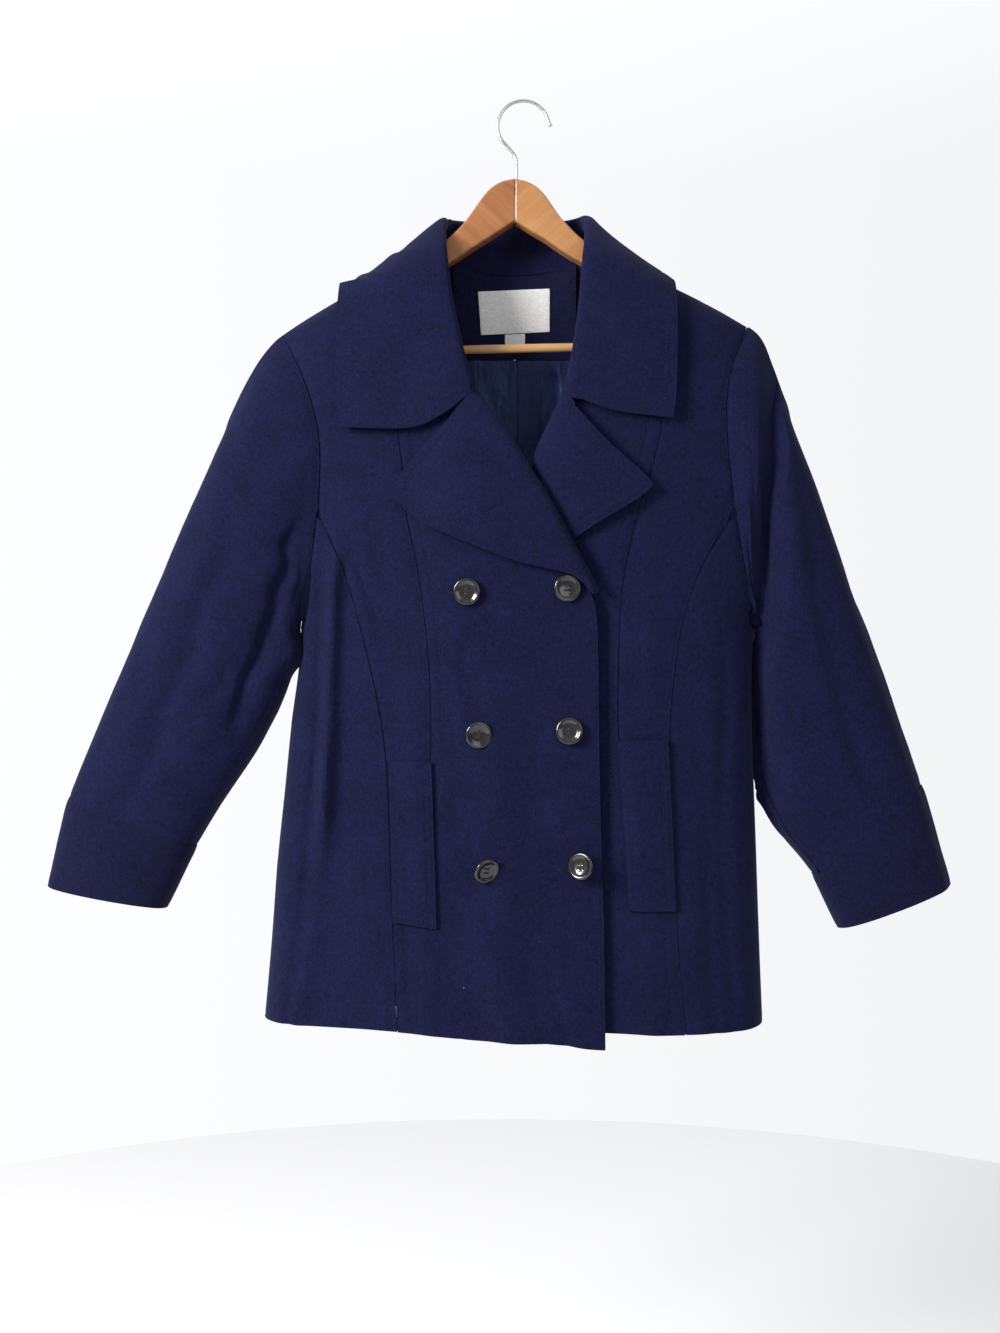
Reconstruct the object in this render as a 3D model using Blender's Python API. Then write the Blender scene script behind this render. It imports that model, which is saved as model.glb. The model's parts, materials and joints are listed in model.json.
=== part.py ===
"""A double-breasted pea coat hanging on a wooden hanger.

Lengths are millimetres until a mesh is made, then metres. +X is the viewer's right, +Y points
away from the viewer and +Z is up. The origin is where the hook bears on whatever holds it.
Sides are the wearer's: the right front lies at -X, on top of the left front.
"""

import bisect
import math

import bmesh
import bpy
import numpy as np
from mathutils import Matrix, Vector

# Driving sizes.
MM = 0.001
CLOTH = 2.2                 # wall of one layer of melton
DOUBLE_CLOTH = 4.4          # two layers sewn together
SEAM_GAP = 0.3              # between neighbouring pieces
SATIN = 1.0
HEM_Z = -889.0
UNDERARM_Z = -508.0
BODY_ROUNDNESS = 2.5        # exponent of the body's cross-section
SHOULDER_RISE = 45.0        # height over which the shoulder rounds over
RIDGE_ARC = 64.0            # length of that rounding, from the ridge down
ROLL_RADIUS = 4.2           # of the turned collar and lapels
NECK_SEAM_GAP = 2.7         # from the edge of a front to the middle of the collar's doubled cloth
HOOK_WIRE = 3.7

RIGHT = -1                  # the wearer's right, at -X
LEFT = 1
SIDE_NAMES = {RIGHT: "right", LEFT: "left"}
FRONT = -1                  # faces the viewer, at -Y
BACK = 1


class Table:
    """A short table with named columns, read as smooth curves over its first column."""

    def __init__(self, columns, rows):
        rows = sorted(rows)
        self.keys = [row[0] for row in rows]
        self.values = {}
        self.slopes = {}
        for place, name in enumerate(columns[1:], start=1):
            values = [row[place] for row in rows]
            self.values[name] = values
            self.slopes[name] = self.gentle_slopes(values)

    def gentle_slopes(self, values):
        """Slopes that never make the curve overshoot its rows."""
        steps = np.diff(self.keys)
        rises = np.diff(values) / steps
        slopes = [rises[0]]
        for before, after in zip(rises[:-1], rises[1:]):
            same_way = before * after > 0
            slopes.append(2 * before * after / (before + after) if same_way else 0.0)
        slopes.append(rises[-1])
        return slopes

    def at(self, name, key):
        keys = self.keys
        place = min(max(bisect.bisect_right(keys, key) - 1, 0), len(keys) - 2)
        step = keys[place + 1] - keys[place]
        part = min(max((key - keys[place]) / step, 0.0), 1.0)
        low, high = self.values[name][place:place + 2]
        slope_low, slope_high = self.slopes[name][place:place + 2]
        rest = 1.0 - part
        curve = (low * (1 + 2 * part) * rest * rest + high * part * part * (3 - 2 * part)
                 + step * (slope_low * part * rest * rest - slope_high * part * part * rest))
        return curve


def ease(low, high, value):
    """0 below low, 1 above high, smooth between."""
    part = min(max((value - low) / (high - low), 0.0), 1.0)
    return part * part * (3 - 2 * part)


def solve(function, low, high):
    """Where a rising function crosses zero."""
    for _ in range(50):
        middle = 0.5 * (low + high)
        if function(middle) < 0:
            low = middle
        else:
            high = middle
    return 0.5 * (low + high)


# The body's level sections: half widths and depths from the middle of the coat.
BODY = Table(("z", "right", "left", "front", "back"), [
    (-90, 228, 230, 26, 29),
    (-160, 228, 230, 33, 33),
    (-224, 228, 230, 38, 36),
    (-300, 227, 237, 43, 41),
    (-400, 223, 240, 49, 45),
    (-450, 215, 237, 51, 46),
    (UNDERARM_Z, 207, 231.5, 53, 47),
    (-545, 206.5, 229.5, 54, 48),
    (-590, 216, 229.5, 55, 48),
    (-660, 222.5, 231.8, 56, 49),
    (-737, 231, 234.5, 57, 50),
    (-809, 235, 236.8, 59, 51),
    (HEM_Z, 242, 240, 61, 52),
])

# The ridge over the shoulders, where the fronts meet the backs.
SHOULDER = Table(("x", "z"), [
    (-240, -236), (-225, -224), (-208, -212), (-169, -189), (-126, -163), (-77, -131.5), (-40, -119),
    (0, -116), (40, -118), (77, -130.5), (121, -160), (150, -177), (175, -188), (225, -216.3), (240, -226),
])
SHOULDER_TIP = {RIGHT: (-225, -224.0), LEFT: (225, -216.3)}

BACK_NECK = Table(("x", "z"), [
    (-77, -132.5), (-66, -146), (-45, -155), (-20, -160), (0, -161), (20, -160), (45, -155), (66, -146), (77, -132),
])

ARMHOLE_FRONT = {
    RIGHT: Table(("z", "x"), [
        (-224, -225), (-238, -217.5), (-261, -206), (-285, -196), (-311, -188), (-340, -184.5),
        (-370, -184.5), (-402, -188.5), (-444, -194), (-480, -200.5), (UNDERARM_Z, -207),
    ]),
    LEFT: Table(("z", "x"), [
        (-216.3, 225), (-242, 212), (-268, 202.4), (-294, 199.6), (-318, 199.7), (-353, 202.3),
        (-389, 205.5), (-422, 212), (-458, 218.5), (-490, 226), (UNDERARM_Z, 231.5),
    ]),
}
ARMHOLE_BACK = {
    RIGHT: Table(("z", "x"), [
        (-224, -225), (-245, -216), (-270, -208), (-300, -203), (-340, -200), (-380, -199.5),
        (-420, -200.5), (-460, -203), (-490, -205.5), (UNDERARM_Z, -207),
    ]),
    LEFT: Table(("z", "x"), [
        (-216.3, 225), (-242, 217), (-268, 211), (-300, 208), (-340, 207), (-380, 209),
        (-420, 214), (-460, 221), (-490, 228), (UNDERARM_Z, 231.5),
    ]),
}

# The princess seam from the shoulder, which runs behind the welt and ends at the outer seam.
INNER_SEAM = {
    RIGHT: Table(("z", "x"), [
        (-150, -121), (-200, -119.5), (-260, -116.5), (-325, -111.5), (-352, -106.5), (-407, -104),
        (-435, -95.3), (-478, -88.6), (-517, -83.9), (-554, -80.2), (-618, -79.5), (-633, -78.2),
        (-700, -95), (-785, -112.5),
    ]),
    LEFT: Table(("z", "x"), [
        (-150, 144), (-240, 142), (-313, 138.5), (-353, 130.4), (-397, 116), (-427, 107.5),
        (-460, 100.8), (-497, 97.5), (-575, 95.9), (-615, 94.8), (-690, 118), (-776, 148.5),
    ]),
}
# The princess seam from the armhole, which runs along the welt's outer edge to the hem.
OUTER_SEAM = {
    RIGHT: Table(("z", "x"), [
        (-402, -188.5), (-421, -178), (-445, -165.3), (-467, -158.6), (-510, -146), (-547, -136.5),
        (-586, -127.8), (-623, -122), (-633, -121), (-784, -115.5), (HEM_Z, -110.5),
    ]),
    LEFT: Table(("z", "x"), [
        (-402, 208), (-426, 187.5), (-459, 171), (-490, 160.3), (-523, 152.6), (-575, 147),
        (-614, 143.8), (-776, 150.8), (-814, 152.4), (HEM_Z, 159.7),
    ]),
}
OUTER_SEAM_TOP = -402.0
INNER_SEAM_END = {RIGHT: -781.0, LEFT: -772.0}

# The inner edge of each centre front: up the front edge, then along the roll to the neck.
FRONT_EDGE = {
    RIGHT: Table(("z", "x"), [
        (-131, -80), (-150, -77), (-186, -71), (-220, -63.5), (-249, -56.5), (-272, -51.4),
        (-290, -44.6), (-304, -33.8), (-332, -11), (-360, 5.7), (-391, 25.3), (-430, 46), (-444, 53.5), (-462, 63.5),
        (-479, 72.5), (-497, 76.3), (-544, 77.8), (-651, 78.7), (-720, 80.6), (-813, 83.2), (-905, 84),
    ]),
    LEFT: Table(("z", "x"), [
        (-130, 79.6), (-150, 76.2), (-167, 73.2), (-199, 69.6), (-228, 66), (-266, 57.4), (-289, 51.6),
        (-311, 40.6), (-334, 29.8), (-348, 23.3), (-362, 14), (-400, -14), (-440, -42), (-470, -62),
        (-490, -72), (-520, -76), (HEM_Z, -66),
    ]),
}
HEM = {
    RIGHT: Table(("x", "z"), [
        (-242, -884), (-186, -885), (-152, -884.6), (-112, -887), (-63, -891.5), (-3, -896.5),
        (40, -897), (61, -900.5), (78, -905), (84, -903),
    ]),
    LEFT: Table(("x", "z"), [
        (-66, -888), (85, -888.5), (129, -891), (182, -891.5), (216, -892), (240, -888),
    ]),
}

# How far the right front lies over the body section, and how far the left front sinks below it.
OVERLAP = Table(("z", "over", "under"), [
    (-250, 0, 0), (-300, 5, 1.5), (-345, 7.5, 5), (-430, 7.5, 6), (-500, 4, 7), (-570, 2.5, 7.5),
    (HEM_Z, 2.5, 7),
])

# Soft folds of the hanging cloth: face, side, depth (inwards where negative), width, route.
FOLDS = [
    (FRONT, RIGHT, -9.0, 11.0, Table(("z", "x"), [(-430, -176), (-560, -171), (-660, -172), (-745, -184), (-880, -206)])),
    (FRONT, RIGHT, 5.0, 12.0, Table(("z", "x"), [(-470, -196), (-600, -196), (-760, -213), (-880, -226)])),
    (FRONT, RIGHT, -3.0, 13.0, Table(("z", "x"), [(-490, -46), (-560, -52), (-640, -46), (-740, -34), (-870, -30)])),
    (FRONT, RIGHT, -2.5, 11.0, Table(("z", "x"), [(-760, 12), (-800, 18), (-890, 40)])),
    (FRONT, RIGHT, -3.0, 12.0, Table(("z", "x"), [(-330, -138), (-430, -134), (-560, -118), (-630, -112)])),
    (FRONT, LEFT, -3.5, 12.0, Table(("z", "x"), [(-380, 134), (-470, 118), (-560, 117), (-620, 116)])),
    (FRONT, LEFT, -2.5, 16.0, Table(("z", "x"), [(-560, 196), (-700, 188), (-880, 196)])),
    (BACK, RIGHT, -6.0, 20.0, Table(("z", "x"), [(-330, -120), (-520, -126), (-720, -136), (-890, -146)])),
    (BACK, RIGHT, -5.0, 16.0, Table(("z", "x"), [(-470, -186), (-640, -188), (-890, -204)])),
    (BACK, RIGHT, 4.0, 20.0, Table(("z", "x"), [(-480, -74), (-680, -82), (-890, -92)])),
    (BACK, LEFT, -6.5, 19.0, Table(("z", "x"), [(-380, 104), (-560, 112), (-740, 118), (-890, 132)])),
    (BACK, LEFT, -4.5, 16.0, Table(("z", "x"), [(-470, 196), (-640, 190), (-890, 196)])),
    (BACK, LEFT, 4.0, 18.0, Table(("z", "x"), [(-560, 60), (-720, 58), (-890, 72)])),
]
FOLD_FADE = 90.0            # length over which a fold starts and ends


def bell(distance, width):
    return math.exp(-(distance / width) ** 2)


def fold_height(face, x, z):
    """The sum of the soft folds at a place on the body."""
    height = 0.0
    for fold_face, side, depth, width, route in FOLDS:
        if face != fold_face or x * side < -60:
            continue
        low, high = route.keys[0], route.keys[-1]
        fade = ease(high, high - FOLD_FADE, z)
        if low > HEM_Z + 30:
            fade *= ease(low, low + FOLD_FADE, z)
        height += depth * fade * bell(x - route.at("x", z), width)
    return height


def front_lift(side, x, z):
    """Stands the right front over the left one, which sinks beneath it and comes back up."""
    if side == RIGHT:
        return OVERLAP.at("over", z) * ease(-100, -55, x)
    edge = FRONT_EDGE[RIGHT].at("x", z)
    return -OVERLAP.at("under", z) * (1 - ease(edge + 6, edge + 40, x))


def half_width(side, z):
    return BODY.at(SIDE_NAMES[side], z)


def girth_of(side, x, z):
    """The body's girth parameter at x: 0 at the middle, 1 at the side."""
    share = min(abs(x) / half_width(RIGHT if x < 0 else LEFT, z), 1.0)
    return math.copysign(math.asin(share ** (BODY_ROUNDNESS / 2)) / (math.pi / 2), x)


def dome(x, z):
    """How far the shoulder has rounded over at this place: 0 on the ridge, 1 below it."""
    drop = SHOULDER.at("z", x) - z
    if drop < 0.01:
        return 0.0
    return math.sqrt(1 - (1 - min(drop / SHOULDER_RISE, 1.0)) ** 2)


def body_point(face, side, girth, z, folded=True):
    """A point of the cloth's outer surface."""
    angle = abs(girth) * math.pi / 2
    half = half_width(RIGHT if girth < 0 else LEFT, z)
    across = math.sin(angle) ** (2 / BODY_ROUNDNESS)
    forward = math.cos(angle) ** (2 / BODY_ROUNDNESS)
    x = math.copysign(half * across, girth)
    depth = BODY.at("front" if face == FRONT else "back", z)
    lift = fold_height(face, x, z) if folded else 0.0
    if face == FRONT:
        lift += front_lift(side, x, z)
    spread = across ** (BODY_ROUNDNESS - 1)
    x += math.copysign(spread * lift * (1 - forward), girth)
    y = (depth + lift) * forward * dome(x, z) + SEAM_GAP / 2
    hem = 0.0
    if z < -740:
        hem_table = HEM[side] if face == FRONT else HEM[RIGHT if x < 0 else LEFT]
        level = hem_table.at("z", x if face == FRONT else math.copysign(max(abs(x), 150), x))
        hem = (level - HEM_Z) * ease(-740, HEM_Z, z)
    return Vector((x, face * y, z + hem))


def body_place(face, side, x, z, folded=True):
    return body_point(face, side, girth_of(side, x, z), z, folded)


# Meshes.

SLOTS = {
    "melton": ((0.018, 0.021, 0.066), 0.92, 0.0),
    "satin": ((0.012, 0.014, 0.036), 0.38, 0.0),
    "label_satin": ((0.62, 0.60, 0.57), 0.5, 0.0),
    "button_black": ((0.012, 0.012, 0.011), 0.16, 0.0),
    "beech": ((0.56, 0.30, 0.13), 0.45, 0.0),
    "hook_steel": ((0.55, 0.54, 0.52), 0.28, 1.0),
}


def material_for(slot):
    found = bpy.data.materials.get(slot)
    if found:
        return found
    colour, roughness, metallic = SLOTS[slot]
    made = bpy.data.materials.new(slot)
    made.use_nodes = True
    shader = made.node_tree.nodes["Principled BSDF"]
    shader.inputs["Base Color"].default_value = (*colour, 1.0)
    shader.inputs["Roughness"].default_value = roughness
    shader.inputs["Metallic"].default_value = metallic
    return made


def keep(name, bm, slot):
    """Turn a bmesh, in metres, into a named object with its material."""
    bmesh.ops.recalc_face_normals(bm, faces=bm.faces[:])
    if bm.calc_volume(signed=True) < 0:
        bmesh.ops.reverse_faces(bm, faces=bm.faces[:])
    mesh = bpy.data.meshes.new(name)
    bm.to_mesh(mesh)
    bm.free()
    mesh.shade_smooth()
    mesh.set_sharp_from_angle(angle=math.radians(50))
    mesh.materials.append(material_for(slot))
    obj = bpy.data.objects.new(name, mesh)
    bpy.context.scene.collection.objects.link(obj)
    return obj


def grid_wall(name, outer, inner, slot, ring=False):
    """A closed solid between two grids of points; a ring's columns join up."""
    bm = bmesh.new()
    skins = [[[bm.verts.new(point * MM) for point in row] for row in grid] for grid in (outer, inner)]
    rows, columns = len(outer), len(outer[0])
    spans = [(i, (i + 1) % columns) for i in range(columns if ring else columns - 1)]
    for skin in skins:
        for upper, lower in zip(skin[:-1], skin[1:]):
            for i, k in spans:
                bm.faces.new((upper[i], upper[k], lower[k], lower[i]))
    near, far = skins
    for row in (0, rows - 1):
        for i, k in spans:
            bm.faces.new((near[row][i], near[row][k], far[row][k], far[row][i]))
    if not ring:
        for column in (0, columns - 1):
            for row in range(rows - 1):
                bm.faces.new((near[row][column], near[row + 1][column],
                              far[row + 1][column], far[row][column]))
    return keep(name, bm, slot)


def body_wall(name, face, side, rows, left_edge, right_edge, columns, slot="melton",
              outer=0.0, inner=-CLOTH):
    """A wall on the body's surface, between two edges that are functions of z.

    columns are the shares of the way from the left edge to the right edge. outer and inner are
    the distances of its two skins from the cloth's outer surface.
    """
    def place(u, z):
        low = girth_of(side, left_edge(z), z)
        high = girth_of(side, right_edge(z), z)
        return body_point(face, side, low + (high - low) * u, z)

    skins = [[], []]
    for z in rows:
        lines = [[], []]
        for u in columns:
            point = place(u, z)
            steps = (max(u - 0.002, 0.0), min(u + 0.002, 1.0))
            along = place(steps[1], z) - place(steps[0], z)
            down = place(u, z - 0.25) - place(u, z + 0.25)
            normal = along.cross(down).normalized()
            if normal.y * face < 0:
                normal = -normal
            for line, distance in zip(lines, (outer, inner)):
                moved = point + normal * distance
                if abs(moved.y) < SEAM_GAP / 2 or moved.y * face < 0:
                    moved.y = face * SEAM_GAP / 2
                line.append(moved)
        for skin, line in zip(skins, lines):
            skin.append(line)
    return grid_wall(name, skins[0], skins[1], slot)


def shares(count, crowd=0.0):
    """Even shares from 0 to 1; crowd draws them towards both ends."""
    even = [i / (count - 1) for i in range(count)]
    return [share - crowd * math.sin(2 * math.pi * share) / (2 * math.pi) for share in even]


def shoulder_x(side, z):
    """Where the shoulder ridge has this height, on one side."""
    if z <= SHOULDER_TIP[side][1]:
        return float(SHOULDER_TIP[side][0])
    return side * solve(lambda reach: z - SHOULDER.at("z", side * reach), 70.0, 240.0)


def seam(edge, side, shift):
    """An edge moved by half a seam gap, away from its neighbour."""
    return lambda z: edge(z) + side * shift


# Rows of the body's grids.
UPPER_ROWS = [-141, -152, -164, -178, -194, -209]
ARM_ROWS = [-240, -262, -290, -325, -362, OUTER_SEAM_TOP, -440, -470, -492, UNDERARM_Z]
LOWER_ROWS = [-545, -590, -633, -680, -730, -781, -835, -868, HEM_Z]


def side_rows(side, top, bottom=HEM_Z):
    """Rows from a piece's top, shared with its neighbours wherever both have them."""
    tip = SHOULDER_TIP[side][1]
    every = UPPER_ROWS + [tip] + ARM_ROWS + LOWER_ROWS
    rows = [z for z in every if bottom + 6 < z < top - 4]
    return [top] + rows + [bottom]


def meeting(side, edge):
    """The height at which an edge has come 2 mm away from the shoulder ridge."""
    return solve(lambda z: 2.0 - side * (shoulder_x(side, z) - edge(z)) if z > -400 else 1.0,
                 -215.0, -131.0)


def inner_seam_x(side):
    return lambda z: INNER_SEAM[side].at("x", z)


def outer_edge_x(side, table):
    """The outer edge of a front or a back: shoulder ridge, armhole, then the given seam."""
    def edge(z):
        if z > SHOULDER_TIP[side][1]:
            return shoulder_x(side, z)
        armhole = table[side].at("x", z) if z > UNDERARM_Z else side * half_width(side, z)
        return side * min(abs(armhole), half_width(side, z))
    return edge


def ordered(side, outside, inside):
    """Edges from left to right as seen from the front."""
    return (outside, inside) if side == RIGHT else (inside, outside)


def make_front(side):
    name = SIDE_NAMES[side]
    half_gap = SEAM_GAP / 2
    armhole = outer_edge_x(side, ARMHOLE_FRONT)
    princess = inner_seam_x(side)
    end = INNER_SEAM_END[side]
    outer_seam = lambda z: OUTER_SEAM[side].at("x", z)

    # The middle front: out to the shoulder and armhole above, to the outer seam below.
    middle_top = meeting(side, princess)
    middle_out = lambda z: armhole(z) if z >= OUTER_SEAM_TOP else outer_seam(z) - side * half_gap
    edges = ordered(side, middle_out, seam(princess, side, half_gap + 0.15))
    body_wall(f"front_middle_{name}", FRONT, side, side_rows(side, middle_top, end), *edges,
              shares(6, 0.35))

    # The side front.
    edges = ordered(side, armhole, seam(outer_seam, side, half_gap + 0.15))
    side_part = side_rows(side, OUTER_SEAM_TOP - 3.0)
    body_wall(f"front_side_{name}", FRONT, side, side_part, *edges, shares(6, 0.3))

    # The centre front, out to the shoulder, the inner seam, and then the outer seam.
    front_edge = lambda z: FRONT_EDGE[side].at("x", z)
    center_top = meeting(side, front_edge)

    def center_out(z):
        if z > middle_top:
            return armhole(z)
        if z >= end:
            return princess(z) - side * half_gap
        return outer_seam(z) - side * half_gap

    rows = [z for z in side_rows(side, center_top) if abs(z - middle_top) > 4 and abs(z - end) > 12]
    rows = sorted(rows + [middle_top, end, end - 2 * SEAM_GAP], reverse=True)
    edges = ordered(side, center_out, front_edge)
    if side == RIGHT:
        columns = shares(8, 0.35)
    else:
        columns = [0.0, 0.3, 0.55, 0.78, 0.83, 0.89, 0.95, 1.0]
    body_wall(f"front_center_{name}", FRONT, side, rows, *edges, columns)


def make_back(side):
    name = SIDE_NAMES[side]
    armhole = outer_edge_x(side, ARMHOLE_BACK)

    def center(z):
        if z <= -160.5:
            return side * SEAM_GAP / 2
        return side * solve(lambda reach: BACK_NECK.at("z", side * reach) - z, 0.2, 77.0)

    top = meeting(side, center)
    rows = side_rows(side, top)
    rows = sorted([z for z in rows if abs(z + 160.5) > 4] + [-157.5, -160.5], reverse=True)
    edges = ordered(side, armhole, center)
    body_wall(f"back_{name}", BACK, side, rows, *edges, shares(9, 0.2))


# Sleeves. Each is a run of rings between its outer and its inner line.

SLEEVE_COLUMNS = ("s", "outer_x", "outer_z", "inner_x", "inner_z", "front", "back")
SLEEVES = {
    RIGHT: Table(SLEEVE_COLUMNS, [
        (0.00, -225.3, -224, -209, -508, 33, 34),
        (0.05, -238, -236, -209.5, -516, 36, 37),
        (0.12, -257, -264, -210, -528, 39, 42),
        (0.22, -278, -305, -212.5, -545, 42, 46),
        (0.34, -307, -370, -221, -575, 43, 48),
        (0.46, -337, -438, -235, -607, 42, 48),
        (0.58, -366, -508, -256, -642, 39, 46),
        (0.70, -395, -575, -276, -670, 36, 43),
        (0.80, -420, -634, -295, -699, 33, 39),
        (0.86, -434, -672, -307, -720, 31, 36),
        (1.00, -454, -757, -336, -779, 29, 33),
    ]),
    LEFT: Table(SLEEVE_COLUMNS, [
        (0.00, 225.3, -216.3, 233.5, -508, 33, 34),
        (0.05, 238, -227, 234.5, -520, 38, 38),
        (0.12, 250, -256, 235, -540, 42, 43),
        (0.22, 266, -296, 235.5, -565, 44, 48),
        (0.34, 289, -354, 236, -598, 43, 51),
        (0.46, 311, -416, 237, -630, 41, 51),
        (0.58, 333, -484, 239, -662, 38, 49),
        (0.70, 357, -552, 253, -692, 35, 45),
        (0.80, 380, -618, 274, -724, 32, 41),
        (0.86, 394, -660, 287, -748, 31, 38),
        (1.00, 422, -757, 312, -799, 29, 34),
    ]),
}
RING_ROUNDNESS = 2.2
ARMHOLE_GAP = {RIGHT: 0.9, LEFT: 2.2}    # wider where the sleeve sags at the underarm
ARMHOLE_HOLD = 0.42         # how far down the sleeve the armhole's own shape is felt
SLEEVE_RINGS = [0.0, 0.035, 0.07, 0.11, 0.15, 0.19, 0.24, 0.30, 0.37, 0.46, 0.56, 0.67, 0.77, 0.859]
CUFF_RINGS = [0.86, 0.93, 1.0]

# The valleys on the sleeves' fronts, by height.
VALLEYS = {
    RIGHT: (Table(("z", "x", "depth", "width"), [
        (-395, -190, 0, 9), (-425, -200, 7, 10), (-470, -222, 11, 12), (-510, -240, 9, 14),
        (-570, -262, 4, 15), (-620, -270, 0, 16),
    ])),
    LEFT: (Table(("z", "x", "depth", "width"), [
        (-238, 247, 0, 6), (-275, 247, 10, 7), (-320, 246, 20, 8), (-380, 241, 24, 9),
        (-440, 237, 25, 10), (-520, 237, 24, 11), (-600, 240, 20, 12), (-670, 248, 10, 13),
        (-720, 262, 0, 14),
    ])),
}


def ring_angle(side, z):
    """The ring angle that meets a body row at the armhole."""
    top = SHOULDER_TIP[side][1]
    middle = (top + UNDERARM_Z) / 2
    half = (top - UNDERARM_Z) / 2
    return math.acos(min(max((z - middle) / half, -1.0), 1.0))


def ring_angles(side):
    """Angles round a sleeve: 0 outside, then the front, the inside at pi, and the back."""
    front = [ring_angle(side, z) for z in [SHOULDER_TIP[side][1]] + ARM_ROWS]
    return front + [2 * math.pi - angle for angle in front[-2:0:-1]]


def armhole_point(side, angle):
    """The edge of the armhole at a ring angle."""
    angle %= 2 * math.pi
    top = SHOULDER_TIP[side][1]
    z = (top + UNDERARM_Z) / 2 + (top - UNDERARM_Z) / 2 * math.cos(angle)
    face = FRONT if angle <= math.pi else BACK
    table = ARMHOLE_FRONT if face == FRONT else ARMHOLE_BACK
    return body_place(face, side, outer_edge_x(side, table)(z), z)


def plain_ring(side, s, angle):
    row = {name: SLEEVES[side].at(name, s) for name in SLEEVE_COLUMNS[1:]}
    outer = Vector((row["outer_x"], 0, row["outer_z"]))
    inner = Vector((row["inner_x"], 0, row["inner_z"]))
    power = 2 / RING_ROUNDNESS
    across = math.copysign(abs(math.cos(angle)) ** power, math.cos(angle))
    deep = math.copysign(abs(math.sin(angle)) ** power, math.sin(angle))
    depth = row["front"] if deep > 0 else row["back"]
    return (outer + inner) / 2 + (outer - inner) / 2 * across + Vector((0, -depth * deep, 0))


def sleeve_point(side, s, angle):
    """A point of the sleeve's outer surface."""
    point = plain_ring(side, s, angle)
    if s < ARMHOLE_HOLD:
        hold = (1 - s / ARMHOLE_HOLD) ** 2
        start = armhole_point(side, angle) + Vector((side * ARMHOLE_GAP[side], 0, 0))
        point += (start - plain_ring(side, 0.0, angle)) * hold
    if math.sin(angle) > 0:
        valley = VALLEYS[side]
        sink = valley.at("depth", point.z) * bell(point.x - valley.at("x", point.z),
                                                  valley.at("width", point.z))
        point.y += sink * min(1.0, 3 * math.sin(angle)) * ease(0.0, 0.05, s)
    return point


def sleeve_skins(side, rings, angles, outer, inner):
    """Two grids of points, the given distances off the sleeve's outer surface."""
    skins = [[], []]
    for s in rings:
        lines = [[], []]
        for angle in angles:
            point = sleeve_point(side, s, angle)
            around = sleeve_point(side, s, angle + 0.02) - sleeve_point(side, s, angle - 0.02)
            s_low, s_high = max(s - 0.004, 0.0), min(s + 0.004, 1.0)
            down = sleeve_point(side, s_high, angle) - sleeve_point(side, s_low, angle)
            normal = around.cross(down).normalized() * side
            for line, distance in zip(lines, (outer, inner)):
                line.append(point + normal * distance)
        for skin, line in zip(skins, lines):
            skin.append(line)
    return skins


def make_sleeve(side):
    name = SIDE_NAMES[side]
    angles = ring_angles(side)
    inside = len(ARM_ROWS)              # the column that runs down the inner line
    front_seam = inside - 1
    back_seam = inside + 3
    gap = 0.004
    top = [angles[back_seam] - 2 * math.pi + gap] + [a - 2 * math.pi for a in angles[back_seam + 1:]]
    top += angles[:front_seam] + [angles[front_seam] - gap]
    under = [angles[front_seam] + gap] + angles[inside:back_seam] + [angles[back_seam] - gap]
    for part, part_angles in (("top", top), ("under", under)):
        skins = sleeve_skins(side, SLEEVE_RINGS, part_angles, 0.0, -CLOTH)
        grid_wall(f"sleeve_{part}_{name}", *skins, "melton")
    skins = sleeve_skins(side, CUFF_RINGS, angles, 1.4, 1.4 - DOUBLE_CLOTH)
    grid_wall(f"cuff_{name}", *skins, "melton", ring=True)


# Collar and lapels lie over the fronts and backs. A place on the shoulders is x and an arc
# length from the ridge, negative towards the front.

def arc_point(x, arc, lift):
    """A point above the body's surface, the lift measured square to it."""
    face = FRONT if arc < 0 else BACK
    side = RIGHT if x < 0 else LEFT
    ridge = SHOULDER.at("z", x)
    turn = min(abs(arc) / RIDGE_ARC, 1.0) * math.pi / 2
    z = ridge - SHOULDER_RISE * (1 - math.cos(turn)) - max(abs(arc) - RIDGE_ARC, 0.0)
    base = body_place(face, side, x, z)
    depth = BODY.at("front" if face == FRONT else "back", z)
    normal = Vector((0, face * SHOULDER_RISE * math.sin(turn), depth * math.cos(turn))).normalized()
    return Vector((base.x, base.y, z)) + normal * lift


def arc_of(x, z):
    """The arc at which the front surface has height z below the shoulder's rounding."""
    return -(RIDGE_ARC + SHOULDER.at("z", x) - SHOULDER_RISE - z)


def through(points, count):
    """count points along a smooth curve through the given ones, evenly along it."""
    padded = [2 * points[0] - points[1]] + list(points) + [2 * points[-1] - points[-2]]
    fine = []
    for a, b, c, d in zip(padded, padded[1:], padded[2:], padded[3:]):
        for step in range(12):
            t = step / 12
            fine.append(0.5 * ((2 * b) + (c - a) * t + (2 * a - 5 * b + 4 * c - d) * t * t
                               + (3 * b - a - 3 * c + d) * t ** 3))
    fine.append(points[-1].copy())
    reach = [0.0]
    for before, after in zip(fine, fine[1:]):
        reach.append(reach[-1] + (after - before).length)
    found = []
    for i in range(count):
        target = reach[-1] * i / (count - 1)
        place = min(max(bisect.bisect_right(reach, target) - 1, 0), len(fine) - 2)
        part = (target - reach[place]) / max(reach[place + 1] - reach[place], 1e-9)
        found.append(fine[place].lerp(fine[place + 1], min(part, 1.0)))
    return found


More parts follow.
